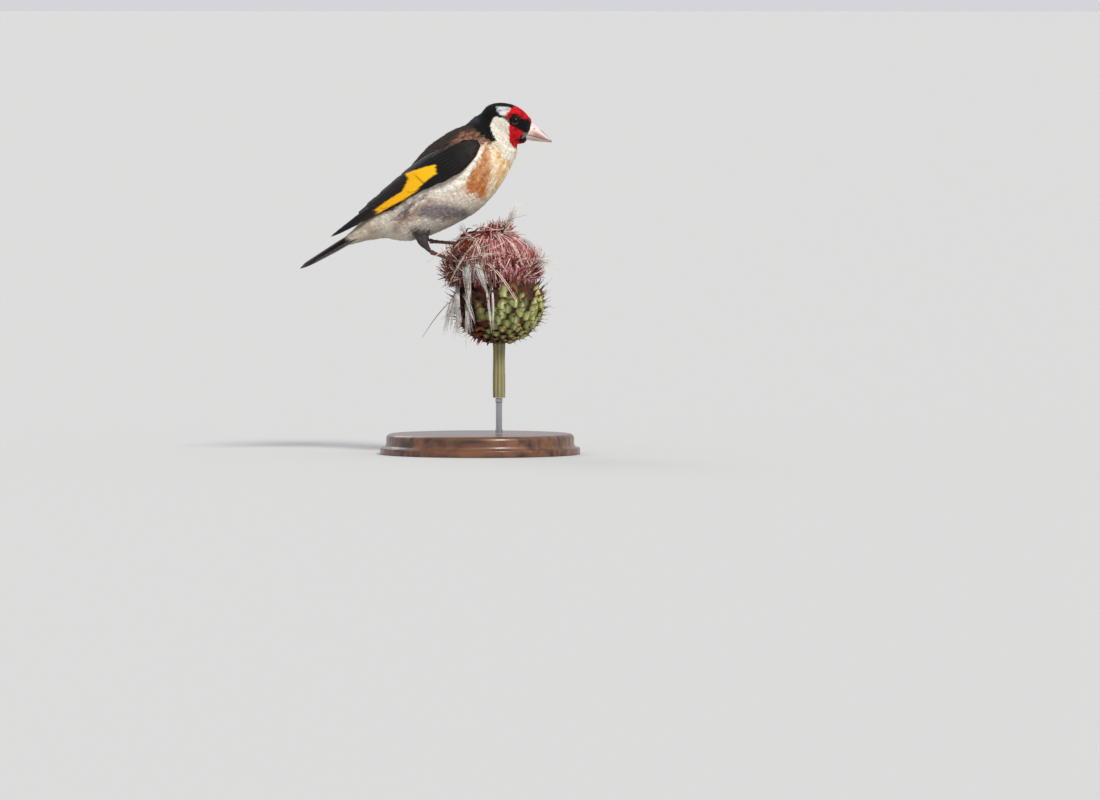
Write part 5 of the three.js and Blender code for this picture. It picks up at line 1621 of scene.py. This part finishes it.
# Tufts of white down that hang from the tuft: root, tip, hairs, spread of roots and of tips, side
HANGING_DOWN = [
    ((-4.7, 84.0), (-3.1, 65.8), 60, 0.9, 0.35, -1),
    ((-3.6, 68.0), (-5.1, 46.4), 9, 0.3, 0.35, -1),
    ((-9.5, 75.0), (-8.2, 53.2), 44, 0.5, 0.55, -1),
    ((-10.0, 71.0), (-15.1, 53.6), 30, 0.4, 0.6, -1),
    ((-9.6, 70.0), (-12.4, 54.6), 18, 0.4, 0.5, -1),
    ((-8.6, 66.0), (-16.2, 60.0), 12, 0.4, 0.9, -1),
    ((-7.0, 62.0), (-10.4, 52.0), 16, 0.4, 1.0, -1),
    ((-6.4, 70.6), (-0.4, 58.0), 12, 0.4, 0.4, -1),
    ((-5.0, 66.0), (-2.4, 53.0), 10, 0.4, 0.9, -1),
    ((-0.2, 84.6), (4.4, 72.3), 64, 1.2, 0.3, -1),
    ((4.4, 73.5), (7.0, 54.5), 7, 0.15, 0.2, -1),
    ((6.6, 75.5), (7.9, 54.5), 6, 0.15, 0.2, -1),
    ((-5.0, 80.0), (-11.0, 60.0), 14, 1.6, 2.2, 1),
    ((9.0, 82.0), (6.0, 63.0), 12, 1.8, 2.4, 1),
    ((2.0, 78.0), (1.0, 60.0), 9, 2.0, 2.2, 1),
    ((16.0, 81.0), (19.0, 66.0), 8, 1.6, 2.0, 1),
]

# Tufts of down that stand away from the head: root, tip, y of both, hairs and spread
STANDING_DOWN = [
    ((11.6, 99.6), (16.8, 111.2), -4.0, 54, 0.9),
    ((20.0, 94.5), (27.5, 87.0), -8.0, 40, 0.9),
    ((24.0, 86.0), (32.0, 84.0), -9.0, 60, 2.0),
    ((-6.0, 96.0), (-9.5, 101.0), 6.0, 16, 0.8),
]


def hairs(count, root, tip, spread_root, spread_tip):
    """Places of hairs as seen from the side, at seven steps from the root to the tip."""
    s = np.linspace(0, 1, 7)[None]
    starts = np.array(root) + rng.normal(0, spread_root, (count, 2))
    ends = np.array(tip) + rng.normal(0, spread_tip, (count, 2))
    ends = mix(starts, ends, rng.uniform(0.75, 1.05, (count, 1)))
    bend = rng.normal(0, 0.5, (count, 1)) * np.sin(s * math.pi)
    x = mix(starts[:, :1], ends[:, :1], s ** 0.85) + bend
    z = mix(starts[:, 1:], ends[:, 1:], s ** 1.15) + 0.4 * bend
    return x, z, s


CROWN_COUNT, CROWN_RADIUS, CROWN_CENTRE = 170, 5.4, (6.4, -2.5, 97.2)
CROWN_LEAN = np.array([0.35, 0.0, 0.8])


def crown(gathered):
    """The messy bundle on top of the tuft that leans towards the bird's front."""
    count = CROWN_COUNT
    far = CROWN_RADIUS * np.sqrt(rng.uniform(0, 1, count))
    turn = rng.uniform(0, 2 * math.pi, count)
    x, y, z = CROWN_CENTRE
    roots = np.stack([x + 1.2 * far * np.cos(turn), y + far * np.sin(turn), np.full(count, z)], 1)
    ways = unit(CROWN_LEAN + rng.normal(0, 0.36, (count, 3)))
    length = rng.uniform(2.5, 5.5, (count, 1)) + 2.6 * np.exp(-((roots[:, :1] - 8.5) / 2.2) ** 2)
    s = np.linspace(0, 1, 6)[None, :, None]
    lines = roots[:, None] + (ways * length)[:, None] * s + rng.normal(0, 0.8, (count, 1, 3)) * s ** 2
    colours = floret_colours(roots - (3, 0, 0), 0.3)
    gathered.add(*strands(lines, rng.uniform(0.2, 0.5, count), colours))


def stalks(gathered):
    for (x0, z0), (x1, z1), y, colour in LOOSE_STALKS:
        s = np.linspace(0, 1, 7)
        line = np.stack([mix(x0, x1, s), y + 0 * s, mix(z0, z1, s) + 0.9 * np.sin(s * math.pi)], -1)
        gathered.add(*strands(line[None], np.array([0.28]), colour[None], 5, 0.4))
    for start, end in STALKS:
        for shift in rng.normal(0, 0.35, 2):
            x, z, s = hairs(1, np.array(start) + shift, np.array(end) + shift, 0.05, 0.1)
            lines = beside_head(x, z, -1, 0.9 + 0.6 * np.sin(s * math.pi))
            gathered.add(*strands(lines, np.array([0.2]), mix(STRAW, WHITE_DOWN, 0.35)[None], 5, 0.6))


def down(gathered):
    for root, tip, count, spread_root, spread_tip, side in HANGING_DOWN:
        x, z, s = hairs(count, root, tip, spread_root, spread_tip)
        clearance = -1.6 + 3.0 * smoothstep(s, 0, 0.3) + rng.normal(0, 0.4, (count, 1)) * s
        nearest = NEAREST_MIDDLE + rng.normal(0, 1.6, (count, 1)) * s
        lines = beside_head(x, z, side, clearance, nearest)
        pale = mix(GREY_DOWN, WHITE_DOWN, rng.uniform(0, 1, (count, 1)) ** 0.6)
        gathered.add(*strands(lines, rng.uniform(0.08, 0.22, count), pale))
    for root, tip, y, count, spread_tip in STANDING_DOWN:
        x, z, s = hairs(count, root, tip, 0.25, spread_tip)
        lines = np.stack([x, y + rng.normal(0, spread_tip, (count, 1)) * s, z], -1)
        pale = mix(GREY_DOWN, WHITE_DOWN, rng.uniform(0.3, 1, (count, 1)))
        gathered.add(*strands(lines, rng.uniform(0.08, 0.18, count), pale))


def stem():
    top, bottom = BOWL_BOTTOM_Z, STEM_CUT_Z
    s = np.linspace(0, 1, 60)
    a = full_turn(72)
    ribs = 0.11 * np.cos(9 * a[None] + 0.5 * np.sin(4 * s[:, None]))
    ribs = ribs + 0.03 * np.cos(23 * a[None] + 6 * s[:, None])
    radius = (STEM_RADIUS - 0.14) * (1 + 0.03 * np.sin(7 * s[:, None])) * (1 + ribs * 0.6) * 0.96
    radius = radius * mix(1.0, 1.08, smoothstep(s[:, None], 0.9, 1.0))
    radius = np.minimum(radius, STEM_RADIUS)
    rings = around_axis(radius, a + 0 * s[:, None], mix(bottom, top, s[:, None]))
    points, faces = tube(rings)
    grooves = np.append((0.5 - 0.5 * np.cos(9 * np.tile(a, 60))), [0, 0])
    gathered = Gathered()
    gathered.add(points, faces, lay(np.tile(STEM_GREEN, (len(points), 1)), STEM_GROOVE, 0.6 * grooves))
    count = STEM_HAIRS
    bearing = rng.uniform(0, 2 * math.pi, count)
    z = rng.uniform(bottom + 0.5, top - 0.5, count)
    s = np.linspace(0, 1, 4)[None]
    length = rng.uniform(0.3, 1.1, (count, 1))
    far = STEM_RADIUS - 0.3 + s * length * 0.6
    lines = around_axis(far, bearing[:, None] + 0.1 * s, z[:, None] - 0.4 * s * length)
    gathered.add(*strands(lines, np.full(count, 0.04), np.tile(STEM_HAIR, (count, 1))))
    gathered.piece("thistle_stem", plant_material("dry_stem", 0.7, 0.25), "dry_stem", ["perch_stem"])


# Stand and studio

def lathed(profile, centre, sides=128):
    a = full_turn(sides)
    profile = np.array(profile)
    x = centre[0] + profile[:, :1] * np.cos(a)
    y = centre[1] + profile[:, :1] * np.sin(a)
    z = profile[:, 1:] + 0 * a
    return tube(np.stack([x, y, z], -1))


def arc(centre_r, centre_z, radius, start, end, steps=8):
    a = np.radians(np.linspace(start, end, steps))
    return [(centre_r + radius * math.cos(t), centre_z + radius * math.sin(t)) for t in a]


def base_profile():
    """Half the base's outline: an eased foot, a hollow above its lip and a rounded top."""
    hollow = BASE_RADIUS - BASE_LIP
    step = hollow - BASE_HOLLOW
    ease = 0.35
    profile = [(0.5, 0.0)] + arc(BASE_RADIUS - ease, ease, ease, -90, 0, 5)
    profile += arc(BASE_RADIUS - ease, BASE_FOOT - ease, ease, 0, 90, 5)
    profile += arc(hollow, BASE_FOOT + BASE_HOLLOW, BASE_HOLLOW, 270, 180, 10)
    profile += arc(step - BASE_ROUND, BASE_HEIGHT - BASE_ROUND, BASE_ROUND, 0, 90, 12)
    return profile + [(0.5, BASE_HEIGHT)]


def rod_profile():
    """Half the rod's outline: a collar at each end and a slimmer middle."""
    low, high = BASE_HEIGHT + GAP, STEM_CUT_Z - GAP
    r = ROD_RADIUS
    slim = r * 0.86
    return [(0.2, low), (r, low), (r, low + 1.6), (slim, low + 1.9), (slim, high - 1.9), (r, high - 1.6),
            (r, high - 0.3), (r - 0.3, high), (0.2, high)]


def stand():
    base = (*lathed(base_profile(), (0.0, 0.0)), WOOD)
    one_piece(base, "base_turned", wood_material(), "stand_wood", ["stand_base"])
    rod = (*lathed(rod_profile(), THISTLE_AXIS, 48), STEEL)
    one_piece(rod, "rod_steel", steel_material(), "stand_steel", ["stand_rod"], smooth=False)


CAMERA_ELEVATION = math.radians(2)
CAMERA_DISTANCE = 5.4
CAMERA_AIM = Vector((0.0308, 0.0, 0.0239))
FRAME_WIDTH = 0.484
SENSOR_WIDTH = 36.0


def pale_floor():
    mesh = bpy.data.meshes.new("floor")
    mesh.from_pydata([(-60, -60, 0), (60, -60, 0), (60, 60, 0), (-60, 60, 0)], [], [(0, 1, 2, 3)])
    floor = linked("floor", mesh)
    material, nodes, links, shader = new_material("pale_floor", 0.9, 0.2)
    shader.inputs["Base Color"].default_value = (0.54, 0.54, 0.53, 1)
    mesh.materials.append(material)


def daylight():
    world = bpy.data.worlds.new("studio")
    bpy.context.scene.world = world
    world.use_nodes = True
    background = world.node_tree.nodes["Background"]
    background.inputs["Color"].default_value = (0.93, 0.95, 1.0, 1)
    background.inputs["Strength"].default_value = 0.7


def lamp(name, way, spread_angle, power, tint):
    """A sun lamp that shines from the given direction."""
    light = bpy.data.lights.new(name, "SUN")
    light.angle = math.radians(spread_angle)
    light.energy = power
    light.color = tint
    made = linked(name, light)
    made.location = way
    made.rotation_euler = (-Vector(way)).to_track_quat("-Z", "Y").to_euler()


def photo_camera():
    camera_data = bpy.data.cameras.new("camera")
    camera_data.sensor_width = SENSOR_WIDTH
    camera_data.lens = SENSOR_WIDTH * CAMERA_DISTANCE / FRAME_WIDTH
    camera_data.clip_end = 200
    camera = linked("camera", camera_data)
    level = math.cos(CAMERA_ELEVATION)
    look = Vector((-math.sin(VIEW_AZIMUTH) * level, math.cos(VIEW_AZIMUTH) * level,
                   -math.sin(CAMERA_ELEVATION)))
    camera.location = CAMERA_AIM - look * CAMERA_DISTANCE
    camera.rotation_euler = look.to_track_quat("-Z", "Y").to_euler()
    bpy.context.scene.camera = camera
    bpy.context.scene.view_settings.view_transform = "Standard"


def studio():
    pale_floor()
    daylight()
    lamp("key", (0.5, -0.75, 0.8), 14, 2.6, (1.0, 0.97, 0.92))
    lamp("back", (-0.5, 0.8, 0.7), 30, 0.6, (0.95, 0.97, 1.0))
    photo_camera()


def bird_body():
    points, faces = fused_skin()
    triangles = to_triangles(faces)
    normals = corner_normals(points, triangles)
    tree = BVHTree.FromPolygons(points.tolist(), [list(f) for f in faces])
    skin = Gathered()
    # The skin under the coat takes the plumage's colours darkened by 0.7: painted shade between the
    # feathers
    skin.add(points, triangles, plumage(points + normals * 0.4) * 0.7)
    skin.piece("bird_skin", feather_material("skin_down"), "plumage_body",
               ["torso", "neck", "head", "thigh_right", "thigh_left"])
    body_coat(tree, points[triangles].mean(1), unit(normals[triangles].mean(1)))


studio()
bird_body()
wings()
tail()
undertail()
eyes()
bill()
legs()
bracts()
florets()
stem()
stand()
